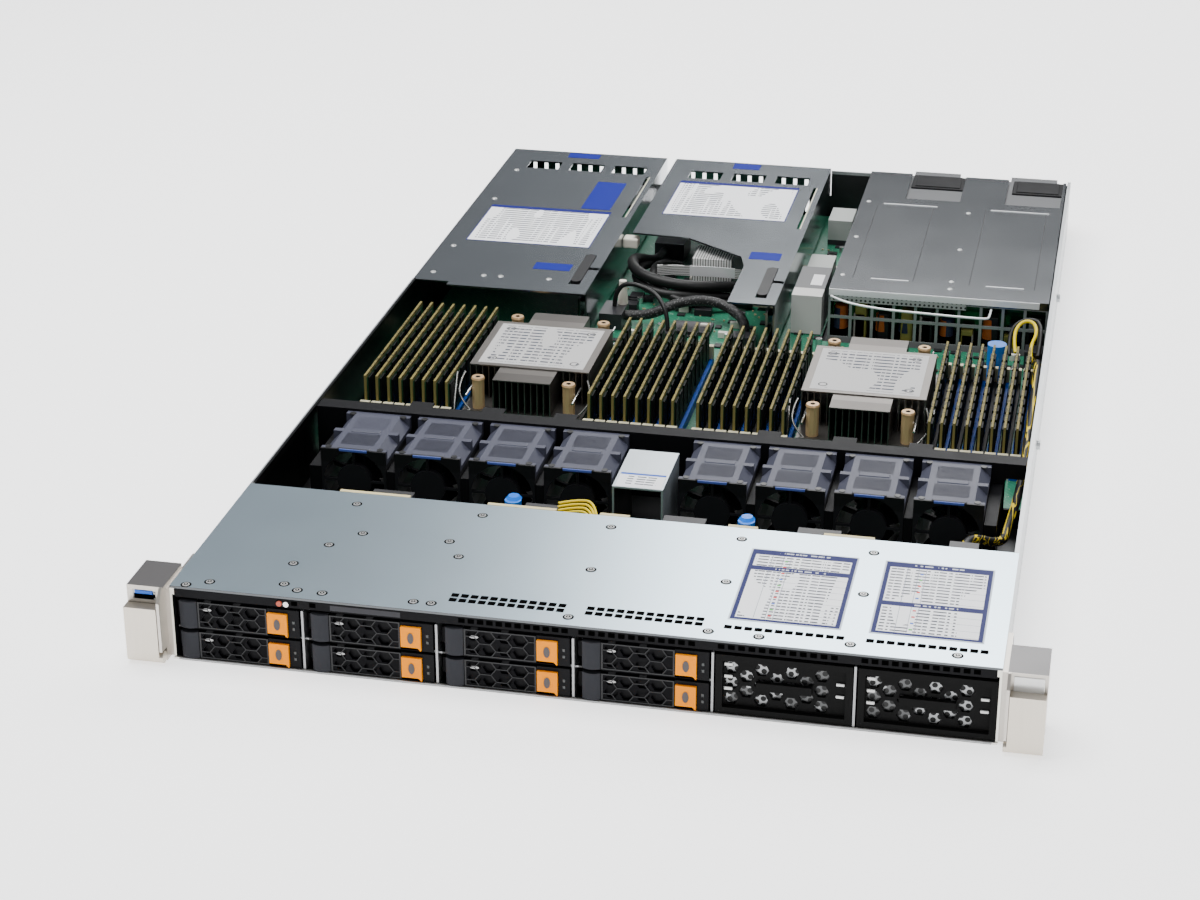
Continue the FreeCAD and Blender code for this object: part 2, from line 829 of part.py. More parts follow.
def drive_backplane():
    """The circuit board behind the drives, with their sockets, rear plugs and two blue knobs."""
    front = size.cover_depth + gap
    thick = size.backplane_thickness
    behind = front + thick
    low = size.backplane_bottom
    board = body("backplane_board")
    edge = clear
    box(board, (-edge, front, low), (2 * edge, thick, size.backplane_top - low))
    window = cut(board, (-edge + size.bay_pitch / 3, front, steel * 4),
                 (size.bay_pitch / 3, thick, size.row_height / 3))
    row(board, [window], "X_Axis", size.bay_pitch, 6)
    members = [board]
    reach = front - size.drive_setback - size.drive_length - gap
    for column in range(DRIVE_COLUMNS):
        for level in range(ROWS):
            middle = bay_left(column) + size.carrier_offset + size.carrier_width / 2
            height = size.row_floor + size.row_pitch * level + size.row_height / 2
            members.append(block("drive_plug", (middle - size.drive_plug_width / 2, front - reach,
                                                height - size.drive_plug_height / 2),
                                 (size.drive_plug_width, reach, size.drive_plug_height)))
    tall = size.blue_knob_height
    for side in (-1, 1):
        x = size.knob_place * side
        y = behind + size.knob_setback
        ledge = size.backplane_top - 2 * tall
        members.append(block("knob_block", (x - size.blue_knob_radius, behind, ledge),
                             (2 * size.blue_knob_radius, size.knob_setback + size.blue_knob_radius, tall)))
        members.append(post("blue_knob", (x, y, ledge + tall), size.blue_knob_radius, tall))
    for left, wide in ((-60, 19), (-150, 24), (20, 24), (96, 24), (180, 16)):
        members.append(block("rear_plug", (left, behind, low + 26), (wide, size.knob_setback + 4, 9)))
    return group("drive_backplane", members)


def fan_middle(index):
    """The middle of a fan, counted from the left."""
    if index < FANS_PER_SIDE:
        return -size.first_fan - size.fan_pitch * (FANS_PER_SIDE - 1 - index)
    return size.first_fan + size.fan_pitch * (index - FANS_PER_SIDE)


def fan_housing(index):
    """A fan housing: square flanges at the ends and the waist, and the front motor holder on struts."""
    side = size.fan_side
    centre = size.fan_bottom + side / 2
    part = body(f"fan_housing_{index + 1}", fan_middle(index), size.fan_front, centre)
    shell = sketch(part, "XZ_Plane")
    rectangle(shell, -side / 2, -side / 2, side, side)
    ring(shell, size.fan_bore_radius, 20)
    pad(part, shell, size.fan_length, backwards=True)
    flange = size.fan_flange
    span = size.fan_length / 2 - 1.5 * flange
    corner = size.fan_corner
    reach = side / 2 + gap
    for start in (flange, size.fan_length / 2 + flange / 2):
        corners = sketch(part, "XZ_Plane", -start)
        for across in (-1, 1):
            for up in (-1, 1):
                polygon(corners, [(reach * across, reach * up), (reach * across, (reach - corner) * up),
                                  ((reach - corner) * across, reach * up)])
        trimmed = part.newObject("PartDesign::Pocket", f"{part.Name}_corners")
        trimmed.Profile = (corners, [""])
        bind(trimmed, "Length", span)
    strut = size.fan_strut
    reach = size.fan_bore_radius + gap
    box(part, (-reach, gap, -strut / 2), (2 * reach, strut, strut))
    box(part, (-strut / 2, gap, -reach), (strut, strut, 2 * reach))
    hub = sketch(part, "XZ_Plane", -gap)
    circle(hub, 0, 0, size.fan_hub_radius)
    pad(part, hub, size.fan_hub_depth, backwards=True)
    return part


def fan_rotor(label, index):
    """A fan's front impeller: a round hub with slanting blades."""
    centre = size.fan_bottom + size.fan_side / 2
    front = size.fan_front + size.fan_hub_depth + 2 * gap
    part = body(label, fan_middle(index), front, centre)
    hub = sketch(part, "XZ_Plane")
    ring(hub, size.rotor_hub_radius, 2 * FAN_BLADES)
    pad(part, hub, size.rotor_hub_length, backwards=True)
    root = size.rotor_hub_radius - 1
    outline = sketch(part, "XY_Plane", root)
    slant = Rotation(Vector(0, 0, 1), number(size.blade_angle))
    corners = []
    for across, along in ((-1, -1), (1, -1), (1, 1), (-1, 1)):
        corner = slant.multVec(Vector(across * number(size.blade_thickness) / 2,
                                      along * number(size.blade_chord) / 2, 0))
        corners.append((corner.x, corner.y))
    middle = size.rotor_hub_length / 2
    polygon(outline, [(x, middle + y) for x, y in corners])
    blade = pad(part, outline, size.blade_reach - root)
    spin = part.newObject("PartDesign::PolarPattern", f"{label}_blades")
    spin.Originals = [blade]
    spin.Axis = (datum(part, "Y_Axis"), [""])
    spin.Angle = 360
    spin.Occurrences = FAN_BLADES
    part.Tip = spin
    return keep(part)


def fan_tray():
    """The black fan frame: a windowed wall behind the fans, its top shelf with tabs, and the posts."""
    part = body("fan_tray")
    front = size.fan_front + size.fan_length + gap
    wall = size.fan_wall
    low = size.fan_bottom
    high = size.fan_shelf_top
    back = front + size.fan_shelf
    under = high - steel
    wide = clear
    profile = sketch(part, "YZ_Plane", -wide)
    polygon(profile, [(front, low), (front + wall, low), (front + wall, under), (back, under),
                      (back, high), (front, high)])
    pad(part, profile, 2 * wide)
    cut(part, (size.lead_passage, front, size.fan_bottom + size.lead_passage_rise),
        (size.lead_passage_width, wall, size.lead_passage_height))
    opening = size.fan_window / 2
    corner = size.fan_window_corner
    centre = size.fan_bottom + size.fan_side / 2
    for side in (-1, 1):
        windows = sketch(part, "XZ_Plane", -front)
        for index in range(FANS_PER_SIDE):
            middle = (size.first_fan + size.fan_pitch * index) * side
            inside = opening - corner
            polygon(windows, [(middle - opening, centre - inside), (middle - inside, centre - opening),
                              (middle + inside, centre - opening), (middle + opening, centre - inside),
                              (middle + opening, centre + inside), (middle + inside, centre + opening),
                              (middle - inside, centre + opening), (middle - opening, centre + inside)])
        opened = part.newObject("PartDesign::Pocket", "fan_tray_windows")
        opened.Profile = (windows, [""])
        bind(opened, "Length", wall + gap)
        between = size.fan_pitch - size.fan_side - 2 * gap
        first = size.first_fan + size.fan_side / 2 + gap
        last = first + size.fan_pitch * (FANS_PER_SIDE - 2)
        start = first if side > 0 else -last - between
        column = box(part, (start, size.fan_front, low),
                     (between, size.fan_length + gap, size.fan_post_height))
        row(part, [column], "X_Axis", size.fan_pitch, FANS_PER_SIDE - 1)
        tab = box(part, (start + between / 2 - size.fan_tab_width / 2, back, under),
                  (size.fan_tab_width, size.fan_tab_reach, steel))
        row(part, [tab], "X_Axis", size.fan_pitch, FANS_PER_SIDE - 1)
        low_x, length = outward(side, last + size.fan_pitch, last + size.fan_pitch + size.fan_end_block)
        box(part, (low_x, size.fan_front, low), (length, size.fan_length + gap, size.fan_post_height))
    return keep(part)


def centre_bracket():
    """The folded steel bridge between the two groups of fans, open at the front."""
    part = body("centre_bracket")
    wide = size.bracket_width / 2
    high = size.bracket_top
    profile = sketch(part, "XZ_Plane", -size.bracket_front)
    polygon(profile, [(-wide, steel), (steel - wide, steel), (steel - wide, high - steel),
                      (wide - steel, high - steel),
                      (wide - steel, steel), (wide, steel), (wide, high), (-wide, high)])
    pad(part, profile, size.bracket_length, backwards=True)
    return keep(part)


def motherboard():
    """The main board on its standoffs, with sockets, plugs, rear ports and tall parts."""
    under = size.board_bottom
    face = under + size.board_thickness
    edge = inner - size.board_side
    board = body("main_board_panel", 0, 0, under)
    outline = sketch(board, "XY_Plane")
    polygon(outline, [(-edge, size.board_front), (edge, size.board_front), (edge, size.board_notch),
                      (size.board_notch_x, size.board_notch), (size.board_notch_x, board_end),
                      (-edge, board_end)])
    pad(board, outline, size.board_thickness)
    members = [board]
    for x in (-edge + 8, -72, 72, edge - 8):
        for y in (size.board_front + 8, size.board_notch - 8):
            members.append(post("standoff", (x, y, steel), size.standoff_radius, under - steel, 6))
    for x in (-edge + 8, size.board_notch_x - 8):
        members.append(post("standoff", (x, board_end - 8, steel), size.standoff_radius,
                            under - steel, 6))
    for x in (-size.left_sink, size.right_sink):
        members.append(block("processor_socket", (x - size.socket_width / 2,
                                                  size.sink_middle - size.socket_length / 2, face),
                             (size.socket_width, size.socket_length, size.socket_height)))
    port_back = rear - board_end + 0.5
    for left, wide, high in ((-203, 31, 12.4), (-166, 14, 12.6), (-146, 16.4, 12.8), (-124, 16.4, 12.8)):
        members.append(block("rear_port", (left, board_end - 14, face),
                             (wide, 14 + port_back, high - gap)))
    for right in (-size.left_riser_right, size.middle_riser_right):
        members.append(block("riser_socket", (right - size.card_inset - 3,
                                              size.riser_front + size.card_front, face),
                             (6, size.card_length * 0.7, size.riser_wall_bottom + 2.5 - face)))
    parts = ((-92, 496, 16, 26, 12), (5, 466, 14, 12, 14), (-48, 483, 12, 12, 6), (-41, 497, 27, 20, 3),
             (0, 608, 16, 14, 14), (-80, 640, 22, 30, 14), (40, 515, 21, 58, 29), (202, 484, 12, 14, 12),
             (38, 600, 18, 40, 14), (42, 700, 18, 30, 20))
    for left, front, wide, deep, high in parts:
        members.append(block("board_part", (left, front, face), (wide, deep, high)))
    members.append(post("blue_capacitor", (185, 455, face), 6.2, 28))
    return group("motherboard", members)


BANK_MIDDLES = (-size.outer_bank, -size.inner_left_bank, size.inner_right_bank, size.right_bank)


def dimm_slots():
    """The memory sockets: a grooved bar with an upright latch at each end, eight to a bank."""
    face = size.board_bottom + size.board_thickness
    length = size.slot_body
    front = size.dimm_front - (length - size.dimm_length) / 2
    ledge = size.latch_thickness
    banks = []
    for index, middle in enumerate(BANK_MIDDLES):
        first = middle - size.dimm_pitch * (DIMMS_PER_BANK - 1) / 2 - size.slot_thickness / 2
        part = body(f"dimm_slot_bank_{index + 1}", first, front, face)
        profile = sketch(part, "YZ_Plane")
        polygon(profile, [(0, 0), (length, 0), (length, size.latch_rise), (length - ledge, size.latch_rise),
                          (length - ledge, size.slot_rise), (ledge, size.slot_rise), (ledge,
                                                                                      size.latch_rise),
                          (0, size.latch_rise)])
        bar = pad(part, profile, size.slot_thickness)
        row(part, [bar], "X_Axis", size.dimm_pitch, DIMMS_PER_BANK)
        groove = cut(part, ((size.slot_thickness - size.dimm_blade) / 2 - gap / 2, ledge, size.dimm_seat),
                     (size.dimm_blade + gap, length - 2 * ledge, size.slot_rise))
        row(part, [groove], "X_Axis", size.dimm_pitch, DIMMS_PER_BANK)
        banks.append(part)
    return group("dimm_slots", banks)


def dimm_modules():
    """The memory modules: thin boards that stand in the sockets' grooves."""
    face = size.board_bottom + size.board_thickness
    foot = face + size.dimm_seat
    banks = []
    for index, middle in enumerate(BANK_MIDDLES):
        first = middle - size.dimm_pitch * (DIMMS_PER_BANK - 1) / 2 - size.dimm_blade / 2
        part = body(f"dimm_bank_{index + 1}", first, size.dimm_front, foot)
        profile = sketch(part, "XZ_Plane")
        rectangle(profile, 0, 0, size.dimm_blade, size.dimm_height)
        module = pad(part, profile, size.dimm_length, backwards=True)
        row(part, [module], "X_Axis", size.dimm_pitch, DIMMS_PER_BANK)
        banks.append(part)
    return group("dimm_modules", banks)


def cpu_heatsinks():
    """The two processor heatsinks: base, fins under a cap, a narrower tongue at each end, four nuts."""
    base_low = size.board_bottom + size.board_thickness + size.socket_height + gap
    base_high = base_low + size.sink_base
    members = []
    for name, middle in (("left", -size.left_sink), ("right", size.right_sink)):
        part = body(f"{name}_heatsink", middle, size.sink_middle, base_low)
        wide = size.sink_width
        long = size.sink_length
        whole = size.sink_base_length
        tongue = size.tongue_width
        thin = size.fin_thickness
        tall = size.sink_top - base_low - size.sink_cap
        box(part, (-wide / 2, -whole / 2, 0), (wide, whole, size.sink_base))
        pitch = (tongue - thin) / 9
        fin = box(part, (-tongue / 2, -whole / 2, 0), (thin, whole, tall - size.sink_cap))
        row(part, [fin], "X_Axis", pitch, 10)
        outer = (wide - tongue) / 2
        for start in (-wide / 2, tongue / 2 + pitch - thin):
            side_fin = box(part, (start, -long / 2, 0), (thin, long, tall))
            row(part, [side_fin], "X_Axis", (outer - pitch) / 4, 5)
        box(part, (-tongue / 2, -whole / 2, tall - size.sink_cap), (tongue, whole, size.sink_cap))
        box(part, (-wide / 2, -long / 2, tall), (wide, long, size.sink_cap))
        members.append(part)
        for across in (-1, 1):
            for along in (-1, 1):
                foot = (middle + size.nut_x * across, size.sink_middle + size.nut_y * along, base_high)
                members.append(post("heatsink_nut", foot, size.nut_radius, size.nut_top - base_high, 10))
    return group("cpu_heatsinks", members)


def riser_cage(name, right, outline, panel_left):
    """A riser cage: top plate, right wall, rear panel, the ledge under its latch, and its riser card."""
    part = body(f"{name}_cage", 0, 0, 0)
    front = size.riser_front
    plate = sketch(part, "XY_Plane", riser_plate)
    polygon(plate, outline)
    pad(part, plate, steel)
    low = size.riser_wall_bottom
    box(part, (right - steel, front, low), (steel, back - front, riser_plate - low + steel / 2))
    panel_low = size.riser_panel_bottom
    box(part, (panel_left, back - steel, panel_low), (right - panel_left, steel,
                                                      riser_plate - panel_low + steel / 2))
    vent = cut(part, (panel_left + 12, back - steel, panel_low + 4),
               (size.rear_vent_width, steel, size.rear_vent_height))
    row(part, [vent], "X_Axis", size.rear_vent_pitch, 11)
    window = cut(part, (panel_left + size.window_inset, back - size.window_setback - size.window_length,
                        riser_plate),
                 (size.window_width, size.window_length, steel))
    row(part, [window], "X_Axis", size.window_pitch, 3)
    cut(part, (right - size.card_inset - size.card_slit / 2, front + size.slit_front, riser_plate),
        (size.card_slit, size.slit_length, steel))
    slot_left = right - size.slide_latch_inset - size.slide_latch_width - gap
    slot_front = front + size.slide_latch_front - size.slide_latch_travel - gap
    slot_length = size.slide_latch_length + size.slide_latch_travel + 2 * gap
    cut(part, (slot_left, slot_front, riser_plate), (size.slide_latch_width + 2 * gap, slot_length, steel))
    notch = slot_front + slot_length / 2
    cut(part, (slot_left + size.slide_latch_width, notch, riser_plate),
        (size.slide_latch_inset, size.slide_latch_notch, steel))
    ledge_top = riser_plate + steel + size.slide_latch_proud - size.slide_latch_height - gap
    box(part, (slot_left - steel, slot_front, ledge_top - steel),
        (right - slot_left + steel / 2, slot_length, steel))
    card_x = right - size.card_inset - size.card_thickness / 2
    card_low = size.riser_wall_bottom + 2.8
    boss = box(part, (card_x + size.card_thickness, front + size.card_front + 20, card_low + 8),
               (right - steel / 2 - card_x - size.card_thickness, 6, 6))
    row(part, [boss], "Y_Axis", size.card_length - 50, 2)
    card = block(f"{name}_card", (card_x, front + size.card_front, card_low),
                 (size.card_thickness, size.card_length, size.card_top - card_low))
    slot = block(f"{name}_slot", (card_x - size.card_slot_reach, front + size.card_front + 40,
                                  card_low + 10),
                 (size.card_slot_reach, size.card_slot_length, size.card_slot_height))
    return group(name, [part, card, slot])


def slide_latch(label, right):
    """The black sliding latch of a riser cage, its ends drawn in."""
    width = size.slide_latch_width
    long = size.slide_latch_length
    left = right - size.slide_latch_inset - width
    low = riser_plate + steel + size.slide_latch_proud - size.slide_latch_height
    part = body(label, left, size.riser_front + size.slide_latch_front, low)
    corner = size.latch_corner
    outline = sketch(part, "XY_Plane")
    polygon(outline, [(corner, 0), (width - corner, 0), (width, corner), (width, long - corner),
                      (width - corner, long), (corner, long), (0, long - corner), (0, corner)])
    pad(part, outline, size.slide_latch_height)
    return keep(part)


def risers():
    """The two riser cages with their latches."""
    front = size.riser_front
    left_right = -size.left_riser_right
    nose = front - size.riser_nose
    step = -size.left_riser_step
    outline = [(-half, front), (step, front), (step, nose), (left_right, nose), (left_right, back),
               (-half, back)]
    riser_cage("left_riser", left_right, outline, -clear)
    slide_latch("left_riser_latch", left_right)
    edge = size.middle_riser_right
    arm = edge - size.middle_arm
    far = -size.middle_riser_left
    outline = [(arm, front), (edge, front), (edge, back), (far, back), (far, front + size.curve_end),
               (-size.curve_middle_x, front + size.curve_middle), (arm - 5, front + size.curve_start),
               (arm, front + size.arm_length)]
    riser_cage("middle_riser", edge, outline, far)
    slide_latch("middle_riser_latch", edge)


def psu_left(index):
    return size.cage_left + (steel + gap) * (index + 1) + (size.psu_width + gap) * index


def psu_cage():
    """The steel cage of the power supplies: top, three walls, the lattice front, the power boards."""
    left = size.cage_left
    front = size.cage_front
    high = size.cage_top
    wide = cage_right - left
    long = back - front
    under = high - steel
    roof = body("psu_cage_top")
    box(roof, (left, front, under), (wide, long, steel))
    for index in range(2):
        cut(roof, (psu_left(index) + size.cage_notch_inset, front + long - size.cage_notch_depth, under),
            (size.cage_notch_width, size.cage_notch_depth, steel))
    walls = body("psu_cage_walls")
    wall = box(walls, (left, front + steel, steel), (steel, long - steel, under - steel))
    row(walls, [wall], "X_Axis", steel + 2 * gap + size.psu_width, 3)
    lattice = body("psu_cage_lattice")
    box(lattice, (left, front, steel), (wide, steel, under - steel))
    bar = size.lattice_bar
    pitch = (steel + 2 * gap + size.psu_width) / 5
    cell = cut(lattice, (left + steel / 2 + bar / 2, front, size.lattice_bottom),
               (pitch - bar, steel, size.lattice_cell_height))
    row(lattice, [cell], "X_Axis", pitch, 10, "Z_Axis", size.lattice_cell_height + bar, 2)
    members = [roof, walls, lattice]
    for index in range(2):
        members.append(block("power_board", (psu_left(index), front + size.power_board_setback, steel),
                             (size.psu_width, 2 * steel, size.power_board_height)))
    return group("psu_cage", members)


def power_supply(label, index):
    """A power supply: closed case, inlet, fan recess with its hub, and the pull handle round the fan."""
    part = body(label, psu_left(index), 0, size.psu_bottom)
    wide = size.psu_width
    high = size.psu_height
    outer = psu_outer
    box(part, (0, size.psu_front, 0), (wide, outer - size.psu_front, high))
    cut(part, (size.psu_inlet_place - size.psu_inlet_width / 2, outer - size.psu_inlet_depth,
               (high - size.psu_inlet_height) / 2),
        (size.psu_inlet_width, size.psu_inlet_depth, size.psu_inlet_height))
    pins = box(part, (size.psu_inlet_place - 8, outer - size.psu_inlet_depth, high / 2 - 2),
               (2, size.psu_inlet_depth * 0.8, 4))
    row(part, [pins], "X_Axis", size.psu_inlet_width * 0.26, 3)
    recess = sketch(part, "XZ_Plane", -outer)
    circle(recess, size.psu_fan_place, high / 2, size.psu_fan_radius)
    circle(recess, size.psu_fan_place, high / 2, size.psu_fan_hub)
    fan = part.newObject("PartDesign::Pocket", f"{label}_fan")
    fan.Profile = (recess, [""])
    fan.Reversed = True
    bind(fan, "Length", size.psu_fan_depth)
    wall = size.handle_wall
    left = size.psu_fan_place - size.handle_width / 2
    reach = size.handle_reach
    cheek = box(part, (left, outer, wall), (wall, reach, high - wall))
    row(part, [cheek], "X_Axis", size.handle_width - wall, 2)
    box(part, (left, outer, high - wall), (size.handle_width, reach, wall))
    box(part, (left, outer + reach - wall, (high - size.handle_bar_height) / 2),
        (size.handle_width, wall, size.handle_bar_height))
    return keep(part)


def psu_latch(label, index):
    """The thin release lever beside a supply's handle, round at its hinge."""
    width = size.psu_latch_width
    part = body(label, psu_left(index) + size.psu_latch_place + width / 2, psu_outer + gap + width / 2,
                size.psu_bottom + (size.psu_height - size.psu_latch_height) / 2)
    root = sketch(part, "XY_Plane")
    circle(root, 0, 0, width / 2)
    pad(part, root, size.psu_latch_height)
    box(part, (-width / 2, 0, 0), (width, size.psu_latch_reach - width / 2, size.psu_latch_height))
    return keep(part)


def tube(name, points, radius, sides):
    """A sleeve along straight runs joined by tangent arcs, each arc as large as its two runs allow."""
    spots = [Vector(*point) for point in points]
    ahead = (spots[1] - spots[0]).normalize()
    arm = ahead.cross(Vector(0.3, 0.2, 1)).normalize() * radius
    turned = [Rotation(ahead, 360 * step / sides).multVec(arm) for step in range(sides)]
    face = Part.Face(Part.makePolygon([spots[0] + corner for corner in turned + turned[:1]]))
    start = spots[0]
    pieces = []
    radii = []
    length = 0.0
    for index in range(1, len(spots) - 1):
        before = (spots[index] - spots[index - 1]).normalize()
        after = (spots[index + 1] - spots[index]).normalize()
        shorter = min((spots[index] - spots[index - 1]).Length, (spots[index + 1] - spots[index]).Length)
        turn = before.getAngle(after)
        trim = 0.45 * shorter
        bend = trim / math.tan(turn / 2)
        axis = before.cross(after).normalize()
        entry = spots[index] - before * trim
        centre = entry + axis.cross(before) * bend
        pieces.append(face.extrude(entry - start))
        face.translate(entry - start)
        pieces.append(face.revolve(centre, axis, math.degrees(turn)))
        length += (entry - start).Length + bend * turn
        face.rotate(centre, axis, math.degrees(turn))
        start = spots[index] + after * trim
        radii.append(round(bend, 1))
    pieces.append(face.extrude(spots[-1] - start))
    length += (spots[-1] - start).Length
    sleeve = pieces[0].multiFuse(pieces[1:])
    ratio = sleeve.Volume / (face.Area * length)
    print(f"{name}: length {length:.1f}, radii {radii}, volume ratio {ratio:.4f}")
    return sleeve.Solids[0]


ROUTES = {
    "bundle": ("bundle_radius", [(-72, 639.7, 14), (-72, 615, 14), (-88, 590, 27), (-78, 556, 27),
                                 (-48, 545, 24),
                                 (-16, 556, 21), (8, 580, 14), (8, 607.7, 14)]),
    "braid": ("braid_radius", [(-75.7, 509, 13), (-60, 509, 13), (-40, 519, 22), (-18, 525, 23),
                               (2, 516, 19),
                               (12, 498, 15), (12, 478.3, 15)]),
    "thin_lead": ("thin_radius", [(-84, 512, 18.3), (-84, 512, 27), (-76, 511.5, 37), (-58, 508, 34),
                                  (-48, 498, 30), (-42.5, 490.5, 22), (-42, 489, 12.5)]),
    "side_lead": ("side_lead_radius", [(207, 483.7, 13), (207, 464, 13), (212, 444, 28), (213.4, 420, 35),
                                       (213.6, 375, 34), (213.6, 315, 33), (213.4, 262, 28), (211, 232, 21),
                                       (208.5, 208, 20), (207, 184, 21), (188, 166, 33.5), (188, 149,
                                                                                            33.5)]),
    "loop": ("loop_radius", [(-40.7, 145, 34), (-29, 145, 34), (-21, 140, 34), (-18.5, 133.3, 34)]),
}


def cable_looms():
    """The leads inside the casing, each along its own route between two plugs."""
    made = doc.addObject("Part::Feature", "cable_looms")
    made.Label = "cable_looms"
    tubes = []
    for name, (cell, points) in ROUTES.items():
        radius = number(getattr(size, cell))
        tubes.append(tube(name, points, radius, 8 if radius > 3 else 6))
    made.Shape = Part.makeCompound(tubes)
    return keep(made)


def build():
    chassis_tray()
    front_cover()
    drive_cage()
    control_strip()
    front_key("locator_key", 0)
    front_key("power_key", 1)
    for column in range(DRIVE_COLUMNS):
        for level in range(ROWS):
            number_of = column * ROWS + level + 1
            drive_carrier(f"drive_carrier_{number_of}", column, level)
            drive_lever(f"drive_lever_{number_of}", column, level)
            drive_button(f"drive_button_{number_of}", column, level)
    bay_blanks()
    group("rack_ears", [rack_ear(-1), rack_ear(1), ear_port("upper_port", size.upper_port),
                        ear_port("lower_port", size.lower_port)])
    ear_flap("left_ear_flap", -1)
    ear_flap("right_ear_flap", 1)
    drive_backplane()
    group("fan_housings", [fan_housing(index) for index in range(2 * FANS_PER_SIDE)])
    for index in range(2 * FANS_PER_SIDE):
        fan_rotor(f"fan_rotor_{index + 1}", index)
    fan_tray()
    centre_bracket()
    motherboard()
    dimm_slots()
    dimm_modules()
    cpu_heatsinks()
    risers()
    psu_cage()
    for index in range(2):
        power_supply(f"power_supply_{index + 1}", index)
        psu_latch(f"supply_latch_{index + 1}", index)
    cable_looms()


def check():
    """Stops unless every object is sound and every node holds valid solids."""
    doc.recompute()
    faults = [f"{item.Name}: {item.getStatusString()}" for item in doc.Objects
              if "Invalid" in item.State or "Error" in item.State]
    for node in nodes:
        if node.Shape.isNull() or not node.Shape.isValid() or not node.Shape.Solids:
            faults.append(node.Label)
    if faults:
        raise RuntimeError(f"unsound objects: {faults}")


build()
check()
for node in nodes:
    node.Shape.exportStep(f"parts/{node.Label}.step")
print(f"{len(nodes)} nodes written")
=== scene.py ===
"""The looks of a one-unit rack server with its lid off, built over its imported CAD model, in metres."""

import math
import random

import bmesh
import bpy
from mathutils import Matrix, Vector


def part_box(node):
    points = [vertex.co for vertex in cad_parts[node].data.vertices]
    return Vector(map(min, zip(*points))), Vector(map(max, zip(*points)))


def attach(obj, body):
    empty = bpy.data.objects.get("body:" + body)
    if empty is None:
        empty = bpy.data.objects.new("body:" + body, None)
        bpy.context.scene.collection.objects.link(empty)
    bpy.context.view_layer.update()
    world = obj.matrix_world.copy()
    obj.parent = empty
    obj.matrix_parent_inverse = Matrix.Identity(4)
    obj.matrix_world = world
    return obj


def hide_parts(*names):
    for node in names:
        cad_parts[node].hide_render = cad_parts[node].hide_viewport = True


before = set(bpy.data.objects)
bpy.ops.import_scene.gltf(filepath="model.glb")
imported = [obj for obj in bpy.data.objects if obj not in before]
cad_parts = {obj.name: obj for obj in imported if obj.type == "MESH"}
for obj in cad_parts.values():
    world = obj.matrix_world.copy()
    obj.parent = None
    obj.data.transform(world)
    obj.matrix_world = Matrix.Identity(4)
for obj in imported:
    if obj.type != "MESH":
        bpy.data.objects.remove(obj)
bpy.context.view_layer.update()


# The tray is bent from galvanised sheet steel: floor, hemmed side walls and rear wall in one piece.
# The zinc is a cool grey with faint mill grain along its length; studs are pressed into the sides.
class Number:
    """A number that varies over a surface; sums of such numbers become Math nodes."""

    def __init__(self, finish, socket):
        self.finish = finish
        self.socket = socket

    def math(self, operation, *values):
        made = self.finish.node("ShaderNodeMath", {"operation": operation}, dict(enumerate(values)))
        return Number(self.finish, made.outputs[0])

    def __add__(self, other):
        return self.math("ADD", self, other)

    def __radd__(self, other):
        return self.math("ADD", other, self)

    def __sub__(self, other):
        return self.math("SUBTRACT", self, other)

    def __rsub__(self, other):
        return self.math("SUBTRACT", other, self)

    def __mul__(self, other):
        return self.math("MULTIPLY", self, other)

    def __rmul__(self, other):
        return self.math("MULTIPLY", other, self)

    def __truediv__(self, other):
        return self.math("DIVIDE", self, other)

    def __gt__(self, other):
        return self.math("GREATER_THAN", self, other)

    def __lt__(self, other):
        return self.math("LESS_THAN", self, other)

    def between(self, low, high):
        return (self > low) * (self < high)

    def part(self):
        return self.math("FRACT", self)

    def whole(self):
        return self.math("FLOOR", self)


class Finish:
    """One material being mixed: its shader, the maker's coordinates and the nodes between them."""

    def __init__(self, name, colour, roughness, metallic=0.0, **settings):
        self.material = bpy.data.materials.new(name)
        self.material.use_nodes = True
        self.tree = self.material.node_tree
        self.shader = self.tree.nodes["Principled BSDF"]
        self.colour = (*colour, 1.0)
        self.shader.inputs["Base Color"].default_value = self.colour
        self.shader.inputs["Roughness"].default_value = roughness
        self.shader.inputs["Metallic"].default_value = metallic
        for socket, value in settings.items():
            self.shader.inputs[socket.replace("_", " ").title().replace("Ior", "IOR")].default_value = value
        self.spot = self.node("ShaderNodeTexCoord").outputs["Object"]
        axes = self.node("ShaderNodeSeparateXYZ", {}, {0: self.spot})
        self.x, self.y, self.z = (Number(self, socket) for socket in axes.outputs)

    def node(self, kind, settings=None, inputs=None):
        made = self.tree.nodes.new(kind)
        for name, value in (settings or {}).items():
            setattr(made, name, value)
        for name, value in (inputs or {}).items():
            self.feed(made.inputs[name], value)
        return made

    def feed(self, socket, value):
        if isinstance(value, Number):
            value = value.socket
        if isinstance(value, bpy.types.NodeSocket):
            self.tree.links.new(value, socket)
        else:
            socket.default_value = value

    def noise(self, scale, detail=2.0, stretch=(1, 1, 1)):
        turned = self.node("ShaderNodeMapping", {}, {"Vector": self.spot, "Scale": stretch})
        inputs = {"Vector": turned.outputs[0], "Scale": scale, "Detail": detail}
        made = self.node("ShaderNodeTexNoise", {}, inputs)
        return Number(self, made.outputs[0])

    def cells(self, scale):
        made = self.node("ShaderNodeTexVoronoi", {}, {"Vector": self.spot, "Scale": scale})
        return Number(self, made.outputs["Distance"])

    def tint(self, mask, colour):
        """Lays a colour over what is there, where the mask is 1."""
        inputs = {0: mask, 6: self.colour, 7: (*colour, 1.0)}
        mixed = self.node("ShaderNodeMix", {"data_type": "RGBA"}, inputs)
        self.colour = mixed.outputs[2]
        self.feed(self.shader.inputs["Base Color"], self.colour)

    def vary(self, socket, low, high, factor):
        self.feed(self.shader.inputs[socket], low + (high - low) * factor)

    def bump(self, height, distance, strength=1.0):
        inputs = {"Height": height, "Distance": distance, "Strength": strength}
        made = self.node("ShaderNodeBump", {}, inputs)
        self.feed(self.shader.inputs["Normal"], made.outputs[0])


